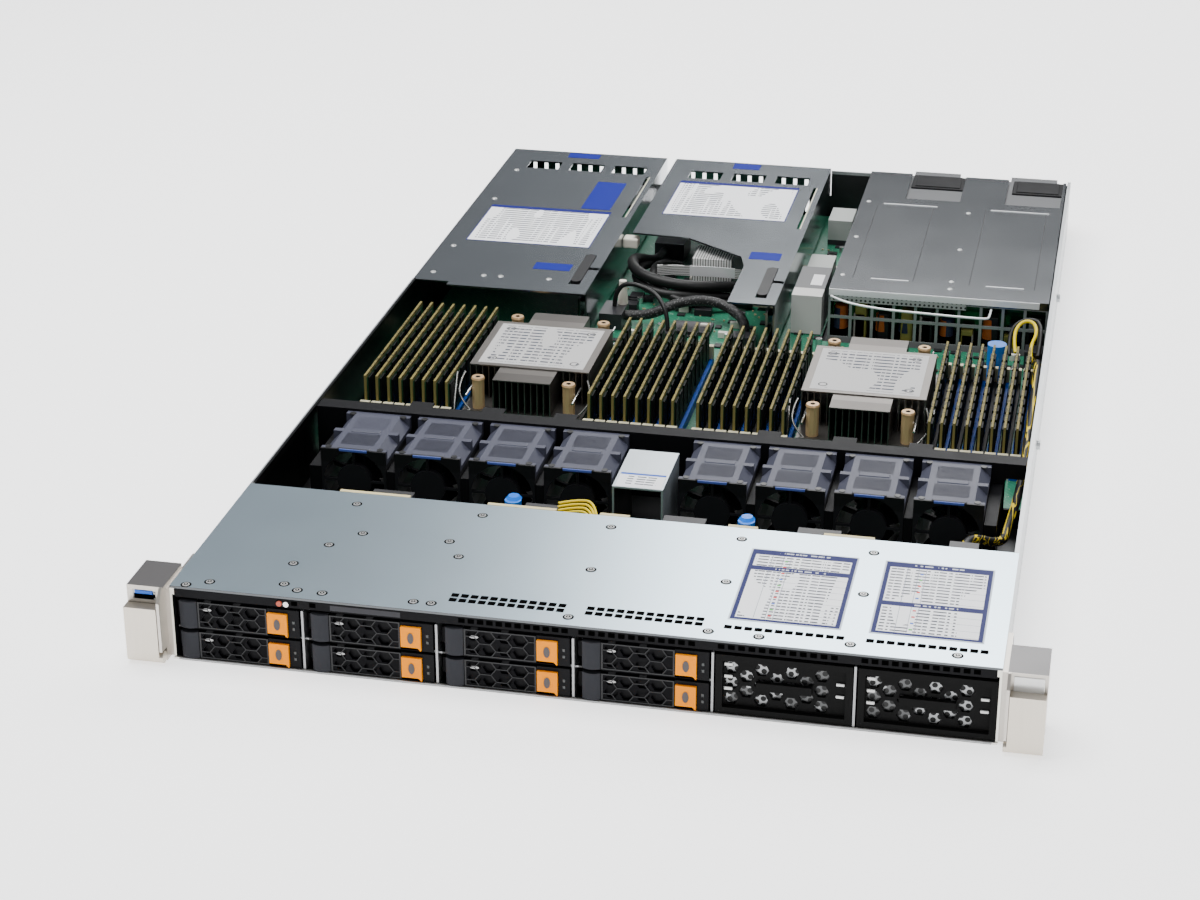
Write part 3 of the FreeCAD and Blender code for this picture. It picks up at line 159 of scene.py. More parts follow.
def sheet_metal(name, colour, roughness, metallic=0.8, grain=(1, 0.06, 1), cloud=0.12):
    """Rolled sheet with faint grain and cloudy gloss."""
    finish = Finish(name, colour, roughness, metallic)
    clouds = finish.noise(26, 2)
    if grain:
        marks = finish.noise(420, 3, grain).between(0.0, 0.46)
        finish.tint(marks * 0.08, tuple(value * 0.78 for value in colour))
    finish.vary("Roughness", roughness - cloud / 2, roughness + cloud / 2, clouds)
    return finish


def moulded(name, colour, roughness, grain=900, depth=0.00004, **settings):
    """Moulded plastic with a fine spark-eroded grain."""
    settings.setdefault("specular_ior_level", 0.3)
    finish = Finish(name, colour, roughness, **settings)
    finish.bump(finish.noise(grain, 2), depth, 0.6)
    finish.vary("Roughness", roughness - 0.05, roughness + 0.08, finish.noise(60, 2))
    return finish


def dress(finish, *names):
    """Gives CAD nodes their finish."""
    for name in names:
        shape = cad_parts[name].data
        shape.materials.clear()
        shape.materials.append(finish.material)


def spot(x, y, z):
    """A place given in millimetres."""
    return Vector((x, y, z)) * 0.001


def slab(mesh, low, high, edge=0.0):
    """A sheet or block between two corners in millimetres, its edges rounded by edge."""
    low, high = spot(*low), spot(*high)
    place = Matrix.LocRotScale((low + high) / 2, None, high - low)
    made = bmesh.ops.create_cube(mesh, size=1.0, matrix=place)
    if edge:
        edges = {line for corner in made["verts"] for line in corner.link_edges}
        bmesh.ops.bevel(mesh, geom=list(edges), offset=edge * 0.001, segments=2, profile=0.5,
                        affect="EDGES", material=-1)


def turned(mesh, foot, radius, height, axis="Z", tip=None, sides=24):
    """A round piece from the middle of its foot, upright or along Y, tapering to tip."""
    turn = Matrix.Rotation(-math.pi / 2, 4, "X") if axis == "Y" else Matrix()
    place = Matrix.Translation(spot(*foot)) @ turn @ Matrix.Translation((0, 0, height * 0.0005))
    tip = radius if tip is None else tip
    bmesh.ops.create_cone(mesh, cap_ends=True, segments=sides, radius1=radius * 0.001,
                          radius2=tip * 0.001, depth=height * 0.001, matrix=place)


def finished(name, mesh, finish, body="chassis"):
    """Closes a mesh into a piece with its finish, riding on a body."""
    shape = bpy.data.meshes.new(name)
    mesh.to_mesh(shape)
    mesh.free()
    shape.materials.append(finish.material)
    made = bpy.data.objects.new(name, shape)
    bpy.context.scene.collection.objects.link(made)
    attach(made, body)


tray_steel = sheet_metal("tray_steel", (0.52, 0.54, 0.55), 0.36, 0.85)
inside = tray_steel.x.between(-0.2176, 0.2176) * (tray_steel.z > 0.0009) * (tray_steel.z < 0.0385)
tray_steel.tint(inside, (0.045, 0.046, 0.048))
# Painted shade: the inner face of the left wall behind the cover is made nearly black where shade falls.
painted_wall_shade = tray_steel.x.between(-0.2176, -0.2150) * (tray_steel.z > 0.0013) * (tray_steel.y > 0.131)
tray_steel.tint(painted_wall_shade, (0.006, 0.006, 0.007))
# Painted highlight: the front edges of the side walls and of the floor are painted pale, as if catching the
# light.
upright = 1 - tray_steel.x.between(-0.2150, 0.2150)
tray_steel.tint((tray_steel.y < 0.0004) * upright, (0.80, 0.78, 0.70))
tray_steel.tint((tray_steel.y < 0.0006) * (tray_steel.z < 0.0017), (0.80, 0.78, 0.74))
dress(tray_steel, "chassis_tray")


# The front cover is a separate galvanised sheet riveted over the drives, slotted for air at the front.
# Flat-headed rivets and screws hold it; two printed paper labels are stuck on its right half.
cover_steel = sheet_metal("cover_steel", (0.60, 0.735, 0.82), 0.29, 1.0, grain=None, cloud=0.03)
cover_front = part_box("front_cover")[0][1]
# Painted shade: the cover's front edge is darkened.
cover_steel.tint(cover_steel.y < cover_front + 0.0003, (0.10, 0.105, 0.11))
dress(cover_steel, "front_cover")

cover_top = 43.6
rivet_spots = ((-210.2, 3), (-199, 8.6), (-162.3, 38.2), (-159.5, 14.2), (-150.5, 8.8), (-136.7, 8.3),
               (-150.3, 63.5), (-136.3, 80.6), (-87.2, 8.8), (-77.6, 9), (-87, 80.7), (-77.4, 64),
               (-150.4, 115.9), (-77.4, 116), (-4.2, 63.6), (-4.2, 116.3), (-4.4, 8.9), (68.8, 64.3),
               (68.8, 8.4), (68.9, 116.3), (141.6, 114.1), (141.6, 65), (95, 7.9), (141.4, 9.2),
               (195.4, 8.7))
rivet_steel = sheet_metal("rivet_steel", (0.60, 0.60, 0.59), 0.28, 0.5)
socket_dark = Finish("socket_dark", (0.012, 0.012, 0.013), 0.8, specular_ior_level=0.0)
# Painted shade: dark discs under and on top of each rivet head stand for the shade in its dimple and
# hollow.
heads = bmesh.new()
sockets = bmesh.new()
for x, y in rivet_spots:
    turned(sockets, (x, y, cover_top - 0.05), 3.0, 0.1, sides=24)
    turned(heads, (x, y, cover_top - 0.05), 2.1, 0.42, tip=1.8, sides=20)
    turned(sockets, (x, y, cover_top + 0.34), 1.25, 0.06, sides=16)
    turned(heads, (x, y, cover_top + 0.36), 0.55, 0.1, sides=8)
finished("cover_rivets", heads, rivet_steel)
finished("cover_rivet_sockets", sockets, socket_dark)

shade_black = Finish("shade_black", (0.003, 0.003, 0.003), 1.0, specular_ior_level=0.0)
shades = bmesh.new()
slot_start, slot_step, slot_half = 5.04, 5.24, 1.95
for left, rows in ((-72.8, (15.2, 20.5)), (0, (15.2, 20.5)), (72.8, (15.2,)), (145.6, (15.2,))):
    slab(shades, (left + 2, 12.6, 42.1), (left + 68, rows[-1] + 3.5, 42.3))
    for index in range(12):
        middle = left + slot_start + slot_step * index
        for row in rows:
            slab(shades, (middle - slot_half, row - 2.0, cover_top - 0.02),
                 (middle + slot_half, row + 2.0, cover_top + 0.03))
finished("slot_shades", shades, shade_black)


def printed_label(name, low, high, top, body, paper, ink, lines, header=0.0, rim=0.0):
    """A paper label: rows of grey rules broken into short runs, a header band and a rim in one ink."""
    finish = Finish(name, paper, 0.42, specular_ior_level=0.08)
    left, front = low[0] * 0.001, low[1] * 0.001
    right, rear = high[0] * 0.001, high[1] * 0.001
    if lines:
        pitch = (rear - front) / lines
        rows = ((finish.y - front) / pitch).part().between(0.30, 0.66)
        runs = finish.noise(620, 1, (1, 0.02, 1)) > 0.42
        blocks = finish.noise(60, 0, (1, 0.4, 1)) > 0.40
        across = finish.x.between(left + 0.004, right - 0.004)
        inner = across * finish.y.between(front + 0.003, rear - 0.003)
        finish.tint(rows * runs * blocks * inner, (0.05, 0.055, 0.08))
    if header:
        finish.tint(finish.y.between(rear - header * 0.001, rear), ink)
    if rim:
        edge = rim * 0.001
        middle = finish.x.between(left + edge, right - edge) * finish.y.between(front + edge, rear - edge)
        finish.tint(1 - middle, ink)
    sheet = bmesh.new()
    slab(sheet, (*low, top), (*high, top + 0.12))
    finished(name, sheet, finish, body)
    return finish


navy = (0.016, 0.020, 0.105)
dot_colours = ((0.65, 0.05, 0.05), (0.10, 0.45, 0.10), (0.08, 0.16, 0.55), (0.65, 0.05, 0.05))
for name, left, bar in (("middle", 76.3, 84.0), ("right", 149.0, 58.0)):
    paper = printed_label(f"cover_label_{name}", (left, 23.5), (left + 58.5, 106.5), cover_top, "chassis",
                          (0.95, 0.96, 0.98), navy, 24, 6.6, 3.2)
    x, y = paper.x - left * 0.001, paper.y
    for column in (0.0125, 0.0185, 0.0225):
        paper.tint(x.between(column, column + 0.0003) * y.between(0.027, 0.100), (0.30, 0.32, 0.38))
    for index in range(10):
        row = 0.030 + 0.0070 * index
        spots = x.between(0.0196, 0.0214) * y.between(row, row + 0.0016)
        paper.tint(spots, dot_colours[(index + (name == "right")) % 4])
        paper.tint(x.between(0.0225, 0.0553) * y.between(row - 0.0026, row - 0.0023), (0.35, 0.36, 0.40))
    paper.tint(y.between((bar - 2.4) * 0.001, (bar + 2.4) * 0.001), navy)
    for middle in (103.2, bar):
        runs = paper.noise(700, 1, (1, 0.02, 1)) > 0.47
        marks = y.between((middle - 0.7) * 0.001, (middle + 0.7) * 0.001) * x.between(0.016, 0.043)
        paper.tint(marks * runs, (0.62, 0.65, 0.72))
    edge = x.between(0.0009, 0.0576) * y.between(0.0244, 0.1056)
    paper.tint(1 - edge, (0.62, 0.68, 0.76))


# The drive cage is riveted from plain zinc sheet: bright dividers between the bays and a thin shelf.
# Above it runs a black moulded strip with small air openings and two round keys.
divider_steel = sheet_metal("divider_steel", (0.30, 0.305, 0.31), 0.35, 0.9)
bay_pitch = 0.0728
phase = ((divider_steel.x + 3 * bay_pitch) / bay_pitch).part().between(0.03, 0.97)
shelf = divider_steel.z.between(0.0172, 0.0215) * phase * (divider_steel.y < 0.03)
divider_steel.tint(shelf, (0.012, 0.012, 0.013))
divider_steel.vary("Metallic", 0.9, 0.0, shelf)
dress(divider_steel, "drive_cage")

strip_black = moulded("strip_black", (0.008, 0.008, 0.009), 0.42, specular_ior_level=0.05)
window = strip_black.x.between(-0.130, -0.092) * strip_black.z.between(0.0382, 0.0412)
strip_black.tint(window, (0.05, 0.05, 0.055))
dress(strip_black, "control_strip")

strip_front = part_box("control_strip")[0][1] * 1000
# Painted shade: matt black sheets in the strip's air openings stand for the dark behind them.
vent_black = Finish("vent_black", (0.001, 0.001, 0.001), 1.0, specular_ior_level=0.0)
vents = bmesh.new()
vent_rows = ((-149.6, 2, 10.0), (-59.0, 12, 4.97), (4.6, 12, 5.2), (77.0, 12, 5.24), (150.0, 12, 5.1))
for start, count, pitch in vent_rows:
    for index in range(count):
        x = start + pitch * index
        slab(vents, (x - 1.7, strip_front - 0.08, 38.9), (x + 1.7, strip_front + 0.02, 41.5))
finished("strip_vents", vents, vent_black)

# Painted highlight: a lighter, less metallic strip along the floor's front edge, as if catching the light.
edge_steel = sheet_metal("edge_steel", (0.36, 0.365, 0.37), 0.3, 0.25)
edge = bmesh.new()
slab(edge, (-215.5, -1.3, 0.1), (215.5, -0.75, 1.4), 0.15)
finished("tray_front_edge", edge, edge_steel)

key_steel = sheet_metal("key_steel", (0.75, 0.75, 0.75), 0.25, 0.95)
key_red = moulded("key_red", (0.50, 0.09, 0.05), 0.3)
dress(key_steel, "power_key")
dress(key_red, "locator_key")

rings = bmesh.new()
for name in ("power_key", "locator_key"):
    middle = [(near + far) * 500 for near, far in zip(*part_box(name))]
    turned(rings, (middle[0], strip_front - 0.2, middle[2]), 1.85, 0.2, axis="Y", tip=1.95, sides=28)
bmesh.ops.delete(rings, geom=[face for face in rings.faces if len(face.verts) > 4], context="FACES")
finished("key_rings", rings, strip_black)


# Each drive sits in a black carrier behind a honeycomb lever with a rounded grey grip at its left end.
# The orange key at the right lets the lever go; a black tip with two light pipes ends the bezel.
carrier_black = moulded("carrier_black", (0.005, 0.005, 0.006), 0.40, specular_ior_level=0.08)
drive_case = carrier_black.y > 0.0165
carrier_black.tint(drive_case, (0.38, 0.39, 0.40))
lever_black = moulded("lever_black", (0.003, 0.003, 0.004), 0.34, specular_ior_level=0.05)
across = ((lever_black.x + 3 * bay_pitch) / bay_pitch).part() * bay_pitch
lever_black.tint(across.between(0.0040, 0.0143), (0.030, 0.031, 0.036))
key_orange = moulded("key_orange", (1.0, 0.30, 0.0), 0.40, specular_ior_level=0.03)
oval_grey = moulded("oval_grey", (0.07, 0.06, 0.06), 0.35)
light_pipe = Finish("light_pipe", (0.030, 0.034, 0.034), 0.25)
web_black = moulded("web_black", (0.016, 0.0165, 0.018), 0.3)
web_front, web_back, web_width = -0.12, 0.35, 0.42
cell_step, cell_height, cell_reach = 8.7, 7.6, 5.8
glint_steel = sheet_metal("glint_steel", (0.30, 0.30, 0.30), 0.25, 0.9)


def clipped(start, finish, low, high):
    """The stretch of a line that lies inside a rectangle, or nothing."""
    first, last = 0.0, 1.0
    for axis in range(2):
        run = finish[axis] - start[axis]
        for bound, sense in ((low[axis], 1), (high[axis], -1)):
            inside = (start[axis] - bound) * sense
            if run * sense == 0:
                if inside < 0:
                    return None
                continue
            cross = -inside / (run * sense)
            if run * sense > 0:
                first = max(first, cross)
            else:
                last = min(last, cross)
    if last - first < 0.02:
        return None
    return [tuple(begin + (end - begin) * share for begin, end in zip(start, finish))
            for share in (first, last)]


def web(mesh, start, finish, width, front, back):
    """A thin upright web between two places (x, z) in millimetres."""
    run = Vector((finish[0] - start[0], finish[1] - start[1]))
    middle = spot((start[0] + finish[0]) / 2, (front + back) / 2, (start[1] + finish[1]) / 2)
    turn = Matrix.Rotation(-math.atan2(run.y, run.x), 4, "Y")
    size = Matrix.Diagonal((run.length * 0.001, (back - front) * 0.001, width * 0.001, 1))
    bmesh.ops.create_cube(mesh, size=1.0, matrix=Matrix.Translation(middle) @ turn @ size)


for index in range(1, 9):
    carrier, lever, key = f"drive_carrier_{index}", f"drive_lever_{index}", f"drive_button_{index}"
    low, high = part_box(lever)
    left, right = low[0] * 1000 + 10.0, high[0] * 1000
    floor, top = low[2] * 1000, high[2] * 1000
    net = bmesh.new()
    for column in range(5):
        for level in range(3):
            x = left + 2.6 + cell_step * column
            z = floor + cell_height * (level + (column % 2) / 2)
            crest, shoulder = z + cell_height / 2, cell_reach / 2
            corners = [(x - cell_reach, z), (x - shoulder, crest),
                       (x + shoulder, crest), (x + cell_reach, z)]
            for start, finish in zip(corners, corners[1:]):
                kept = clipped(start, finish, (left + 0.6, floor + 0.5), (right - 0.7, top - 0.5))
                if kept:
                    web(net, *kept, web_width, web_front, web_back)
    slab(net, (left + 0.1, web_front, floor + 0.1), (left + 0.9, web_back, top - 0.1))
    slab(net, (right - 0.9, web_front, floor + 0.1), (right - 0.1, web_back, top - 0.1))
    slab(net, (left + 0.9, web_front, floor + 0.1), (right - 0.9, web_back, floor + 0.7))
    slab(net, (left + 0.9, web_front, top - 0.7), (right - 0.9, web_back, top - 0.1))
    finished(f"lever_net_{index}", net, web_black, lever)
    # Painted highlight: a small bright oval disc in the lever's upper left corner stands for a glint.
    glint = bmesh.new()
    turned(glint, (0, 0, 0), 1.9, 0.2, axis="Y", tip=1.6, sides=20)
    bmesh.ops.scale(glint, vec=(1.3, 1, 0.42), verts=glint.verts)
    bmesh.ops.translate(glint, vec=spot(left + 5.4, 0.02, top - 4.3), verts=glint.verts)
    finished(f"lever_glint_{index}", glint, glint_steel, lever)
    dress(carrier_black, carrier)
    dress(lever_black, lever)
    dress(key_orange, key)
    low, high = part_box(key)
    left, right = low[0] * 1000, high[0] * 1000
    front, floor, top = low[1] * 1000, low[2] * 1000, high[2] * 1000
    oval = bmesh.new()
    turned(oval, (0, 0, 0), 2.4, 0.25, axis="Y", tip=2.1, sides=24)
    bmesh.ops.scale(oval, vec=(0.72, 1, 1.35), verts=oval.verts)
    place = spot((left + right) / 2, front - 0.24, (floor + top) / 2 + 0.6)
    bmesh.ops.translate(oval, vec=place, verts=oval.verts)
    finished(f"key_oval_{index}", oval, oval_grey, key)
    low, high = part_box(carrier)
    tip = high[0] * 1000 - 1.2
    pipes = bmesh.new()
    for rise in (4.6, 8.4):
        foot = low[2] * 1000 + rise
        slab(pipes, (tip - 3.6, -0.25, foot), (tip - 2.2, 0.05, foot + 1.8), 0.2)
    finished(f"light_pipes_{index}", pipes, light_pipe, carrier)


# The two empty bays hold black moulded fillers: hexagonal openings over a bright stamped steel screen.
# A plain bar crosses each; small contact springs show as bright dashes at the sides.
filler_black = moulded("filler_black", (0.004, 0.004, 0.004), 0.4, specular_ior_level=0.06)
dress(filler_black, "bay_blanks")

screen_steel = Finish("screen_steel", (0.30, 0.305, 0.31), 0.35, 0.7)
hole_pitch = 0.0040
column_ratio = 0.866
columns = screen_steel.x / (hole_pitch * column_ratio)
rows = screen_steel.z / hole_pitch
hole_x = (columns.part() - 0.5) * column_ratio
hole_z = (rows + columns.whole() * 0.5).part() - 0.5
screen_steel.tint(((hole_x * hole_x + hole_z * hole_z) < 0.135), (0.006, 0.006, 0.006))
shadow = screen_steel.noise(45, 1) < 0.46
screen_steel.tint(shadow * 0.75, (0.02, 0.02, 0.02))
filler_low, filler_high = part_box("bay_blanks")
filler_width = 70.2
for name, left in (("left", filler_low[0] * 1000), ("right", filler_high[0] * 1000 - filler_width)):
    screen = bmesh.new()
    right = left + filler_width
    slab(screen, (left + 3.8, 4.3, filler_low[2] * 1000 + 3.8),
         (right - 3.8, 4.7, filler_high[2] * 1000 - 3.8))
    finished(f"filler_screen_{name}", screen, screen_steel)
    springs = bmesh.new()
    for rise in (14.4, 21.4, 28.4):
        slab(springs, (left + 4.2, 1.7, rise), (left + 8.6, 2.5, rise + 1.9), 0.35)
        if rise < 28:
            slab(springs, (right - 8.6, 1.7, rise + 1.5), (right - 4.2, 2.5, rise + 3.2), 0.35)
    finished(f"filler_springs_{name}", springs, rivet_steel)


# The rack ears are die-cast and plated satin nickel; hinged flaps of the same tone cover the rack screws.
# Two data ports with tongues sit in the left ear; the right one carries a plain plate.
ear_nickel = sheet_metal("ear_nickel", (0.52, 0.485, 0.44), 0.33, 0.9, (1, 1, 0.1))
ports = ear_nickel.x.between(-0.2389, -0.2256) * ear_nickel.z.between(0.0259, 0.0413)
ports = ports * ear_nickel.y.between(-0.0029, 0.011)
ear_nickel.tint(ports, (0.55, 0.56, 0.58))
# Painted shade: the top faces of both ears are darkened and made less metallic to tone down what they
# reflect.
painted_shade_ear_tops = (ear_nickel.z > 0.0430) * (ear_nickel.y > -0.0028)
ear_nickel.tint(painted_shade_ear_tops, (0.115, 0.110, 0.110))
ear_nickel.vary("Metallic", 0.9, 0.35, painted_shade_ear_tops)
dress(ear_nickel, "rack_ears")

flap_nickel = sheet_metal("flap_nickel", (0.60, 0.545, 0.465), 0.3, 0.9, (1, 1, 0.1))
dress(flap_nickel, "left_ear_flap", "right_ear_flap")

port_blue = moulded("port_blue", (0.01, 0.12, 0.62), 0.3)
tongue = bmesh.new()
slab(tongue, (-237.2, -2.3, 39.2), (-226.8, 6.0, 40.5), 0.1)
slab(tongue, (-237.2, -2.3, 29.4), (-226.8, 6.0, 30.7), 0.1)
slab(tongue, (-237.0, -3.12, 38.8), (-227.0, -2.9, 40.8), 0.05)
finished("port_tongues", tongue, port_blue)

# Painted shade: a matt black sheet in the port's mouth stands for the dark inside it.
mouth = bmesh.new()
slab(mouth, (-237.4, -3.08, 36.0), (-226.6, -2.85, 38.9))
finished("port_mouth", mouth, vent_black)

plate_satin = sheet_metal("plate_satin", (0.70, 0.70, 0.69), 0.25, 0.6)
plate = bmesh.new()
slab(plate, (224.4, -3.5, 32.6), (239.6, -2.95, 41.7), 0.2)
finished("ear_plate", plate, plate_satin)


# Behind the drives stands the backplane, a green board with black plugs and two blue thumb knobs.
# It is screwed upright behind the drive cage; cream edge strips show above it.
backplane_green = Finish("backplane_green", (0.035, 0.13, 0.06), 0.42)
backplane_green.tint((backplane_green.z > 0.0405) * (backplane_green.y < 0.1330), (0.62, 0.58, 0.44))
knob = backplane_green.y.between(0.1390, 0.1500) * (backplane_green.z > 0.0338)
backplane_green.tint(backplane_green.y > 0.1331, (0.018, 0.018, 0.020))
for centre in (-0.067, 0.067):
    place = knob * backplane_green.x.between(centre - 0.006, centre + 0.006)
    backplane_green.tint(place, (0.0, 0.16, 0.70))
dress(backplane_green, "drive_backplane")

edge_cream = moulded("edge_cream", (0.70, 0.60, 0.33), 0.45)
strips = bmesh.new()
for left, right in ((-165.5, -124), (-78.7, -38.9), (-14, 3), (58.7, 75.3), (112, 140)):
    slab(strips, (left, 131.4, 39.5), (right, 134.2, 43.2), 0.3)
finished("backplane_strips", strips, edge_cream)

knob_blue = moulded("knob_blue", (0.0, 0.17, 0.80), 0.25)
knobs = bmesh.new()
knob_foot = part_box("drive_backplane")[1][2] * 1000
for centre in (-67, 67):
    turned(knobs, (centre, 147.1, knob_foot), 4.6, 1.6, tip=3.2, sides=28)
finished("knob_tops", knobs, knob_blue)


# Eight fans in black moulded frames, their tops ribbed; the impellers are glossy dark plastic.
# The frame behind them is matt black, and a folded steel bridge stands between the two groups.
fan_slate = moulded("fan_slate", (0.060, 0.063, 0.090), 0.42)
fan_slate.tint(fan_slate.y < 0.1915, (0.006, 0.006, 0.007))
fan_slate.tint(fan_slate.z < 0.0330, (0.010, 0.010, 0.012))
dress(fan_slate, "fan_housings")

# Painted highlight: a blue strip along the front top rim of each fan stands for the blue highlight there.
stripe_blue = moulded("stripe_blue", (0.07, 0.12, 0.42), 0.3)
screw_dark = Finish("screw_dark", (0.008, 0.008, 0.009), 0.35)
rotor_black = moulded("rotor_black", (0.008, 0.008, 0.010), 0.25)
frame_black = moulded("frame_black", (0.004, 0.004, 0.005), 0.5, specular_ior_level=0.15)
dress(frame_black, "fan_tray")

fan_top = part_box("fan_housings")[1][2] * 1000
fan_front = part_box("fan_housings")[0][1] * 1000
for index in range(1, 9):
    rotor = f"fan_rotor_{index}"
    dress(rotor_black, rotor)
    low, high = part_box(rotor)
    middle = (low[0] + high[0]) * 500
    cap = bmesh.new()
    for start, reach in ((6.5, 19.5), (30.0, 20.5)):
        near, far = fan_front + start, fan_front + start + reach
        slab(cap, (middle - 12.0, near, fan_top - 4.4), (middle + 12.0, far, fan_top), 1.6)
        slab(cap, (middle - 15.2, near + 4, fan_top - 5.0), (middle + 15.2, far - 4, fan_top - 1.6), 1.8)
    slab(cap, (middle - 10.0, fan_front + 0.3, fan_top - 0.6),
         (middle + 10.0, fan_front + 3.8, fan_top + 0.55), 0.5)
    slab(cap, (middle - 9.0, fan_front + 25.8, fan_top - 0.6),
         (middle + 9.0, fan_front + 30.2, fan_top + 0.5), 0.5)
    finished(f"fan_cap_{index}", cap, fan_slate)
    highlight_strip = bmesh.new()
    slab(highlight_strip, (middle - 8.6, fan_front - 0.25, fan_top - 1.3),
         (middle + 8.6, fan_front + 0.6, fan_top + 0.35), 0.3)
    finished(f"fan_stripe_{index}", highlight_strip, stripe_blue)
    screws = bmesh.new()
    for across in (-1, 1):
        for y in (fan_front + 3.2, fan_front + 52.8):
            turned(screws, (middle + across * 15.8, y, fan_top - 0.4), 2.2, 0.7, tip=1.9, sides=16)
    finished(f"fan_screws_{index}", screws, screw_dark)

bridge_zinc = sheet_metal("bridge_zinc", (0.62, 0.69, 0.73), 0.3, 0.7)
# Painted shade: the middle of the bridge below its top is darkened where its opening lies in shade.
bridge_zinc.tint(bridge_zinc.x.between(-0.0137, 0.0137) * (bridge_zinc.z < 0.0419), (0.03, 0.03, 0.03))
dress(bridge_zinc, "centre_bracket")

low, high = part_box("centre_bracket")
bridge_top = high[2] * 1000
printed_label("bridge_label", (low[0] * 1000 + 1.5, 170.5), (high[0] * 1000 - 1.5, 189.5), bridge_top,
              "chassis", (0.86, 0.87, 0.89), (0.03, 0.10, 0.48), 6, 2.4)


# The main board is green laminate crowded with small parts; sockets and plugs are soldered on.
# It lies on standoffs; its small parts are scattered by a seeded draw over the bare places.
board_green = Finish("board_green", (0.018, 0.150, 0.085), 0.38)
tracks = board_green.cells(170)
slants = ((board_green.x + board_green.y) * 260).part().between(0.0, 0.16)
board_green.tint(slants * (tracks > 0.35), (0.03, 0.24, 0.13))
board_green.tint((board_green.cells(420) < 0.12), (0.55, 0.52, 0.40))
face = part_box("dimm_slots")[0][2]
board_green.tint((board_green.z > face + 0.0006), (0.022, 0.022, 0.025))
board_green.tint((board_green.z > face + 0.003) * (board_green.y > 0.748), (0.50, 0.51, 0.52))
blue_can = board_green.x.between(0.176, 0.194) * board_green.y.between(0.446, 0.463)
blue_can = blue_can * (board_green.z > face + 0.001)
board_green.tint(blue_can, (0.0, 0.15, 0.60))
card_plug = board_green.x.between(0.0398, 0.0612) * board_green.y.between(0.514, 0.5735)
card_plug = card_plug * (board_green.z > face + 0.001)
board_green.tint(card_plug, (0.085, 0.087, 0.090))
card_patch = card_plug * board_green.y.between(0.537, 0.558) * board_green.x.between(0.050, 0.058)
board_green.tint(card_patch, (0.75, 0.75, 0.76))
board_green.tint(card_plug * (board_green.y < 0.530), (0.55, 0.54, 0.52))
brackets = board_green.x.between(0.036, 0.0655) * board_green.y.between(0.585, 0.740)
brackets = brackets * (board_green.z > face + 0.0045)
board_green.tint(brackets, (0.36, 0.38, 0.36))
dress(board_green, "motherboard")

chip_black = moulded("chip_black", (0.018, 0.018, 0.020), 0.35)
resistor_tan = moulded("resistor_tan", (0.42, 0.33, 0.20), 0.4)
can_silver = sheet_metal("can_silver", (0.68, 0.68, 0.68), 0.25, 0.95)
plug_white = moulded("plug_white", (0.70, 0.68, 0.60), 0.45)
random.seed(7)
face *= 1000
bare_places = ((-205, 264, 205, 300, 150), (-205, 450, 60, 480, 130), (-90, 482, 30, 600, 150),
               (36, 506, 60, 760, 60), (62, 450, 205, 503, 90))
chips = bmesh.new()
resistors = bmesh.new()
cans = bmesh.new()
plugs = bmesh.new()
for left, front, right, rear, count in bare_places:
    for _ in range(count):
        x, y = random.uniform(left, right), random.uniform(front, rear)
        kind = random.random()
        if kind < 0.55:
            wide, deep = random.uniform(1.0, 2.4), random.uniform(0.8, 1.6)
            slab(resistors, (x, y, face), (x + wide, y + deep, face + 0.8))
        elif kind < 0.85:
            wide, deep = random.uniform(3, 8), random.uniform(3, 7)
            slab(chips, (x, y, face), (x + wide, y + deep, face + 1.2), 0.15)
        elif kind < 0.95:
            turned(cans, (x, y, face), 2.3, random.uniform(4, 7), sides=14)
        else:
            slab(plugs, (x, y, face), (x + 7, y + 3.2, face + 4.5), 0.3)
# A close crowd of tall black parts between the risers; they also stand in for the shade on the board there.
for _ in range(34):
    x, y = random.uniform(-90, -30), random.uniform(534, 634)
    wide, deep, tall = random.uniform(6, 13), random.uniform(5, 10), random.uniform(1.5, 6)
    slab(chips, (x, y, face), (x + wide, y + deep, face + tall), 0.3)
finished("board_chips", chips, chip_black)
finished("board_resistors", resistors, resistor_tan)
finished("board_cans", cans, can_silver)
finished("board_plugs", plugs, plug_white)


# Memory sockets alternate black and blue, with cream latches; the modules are green with black chips.
# The sockets are moulded and soldered down; each module is a thin card pressed in.
socket_black = moulded("socket_black", (0.010, 0.010, 0.012), 0.45)
slot_pitch = 0.00762
for start in (-0.20717, -0.06177, 0.00743, 0.15043):
    place = (socket_black.x - start) / (2 * slot_pitch)
    blue = place.part().between(0.45, 1.0) * place.between(0, 4)
    socket_black.tint(blue, (0.0, 0.085, 0.50))
slot_low, slot_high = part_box("dimm_slots")
ends = 1 - socket_black.y.between(slot_low[1] + 0.0043, slot_high[1] - 0.0043)
socket_black.tint(ends * (socket_black.z > slot_low[2] + 0.0068), (0.60, 0.56, 0.38))
dress(socket_black, "dimm_slots")

module_green = Finish("module_green", (0.022, 0.075, 0.035), 0.5, specular_ior_level=0.08)
module_green.tint((module_green.z > 0.0367) + (module_green.y < 0.3092), (0.21, 0.175, 0.062))
crumbs = (module_green.noise(560, 1) > 0.56) * (module_green.z > 0.0367)
crumbs = crumbs * module_green.y.between(0.318, 0.436)
module_green.tint(crumbs * 0.8, (0.03, 0.03, 0.02))
# Painted shadow: dark dashes along the top edges of the modules, cast by the chips.
chip_shadow_dashes = ((module_green.y - 0.3078) / 0.0124).part().between(0.20, 0.62)
chip_shadow_dashes = chip_shadow_dashes * module_green.z.between(0.0372, 0.0381)
module_green.tint(chip_shadow_dashes * 0.8, (0.02, 0.02, 0.02))
dress(module_green, "dimm_modules")

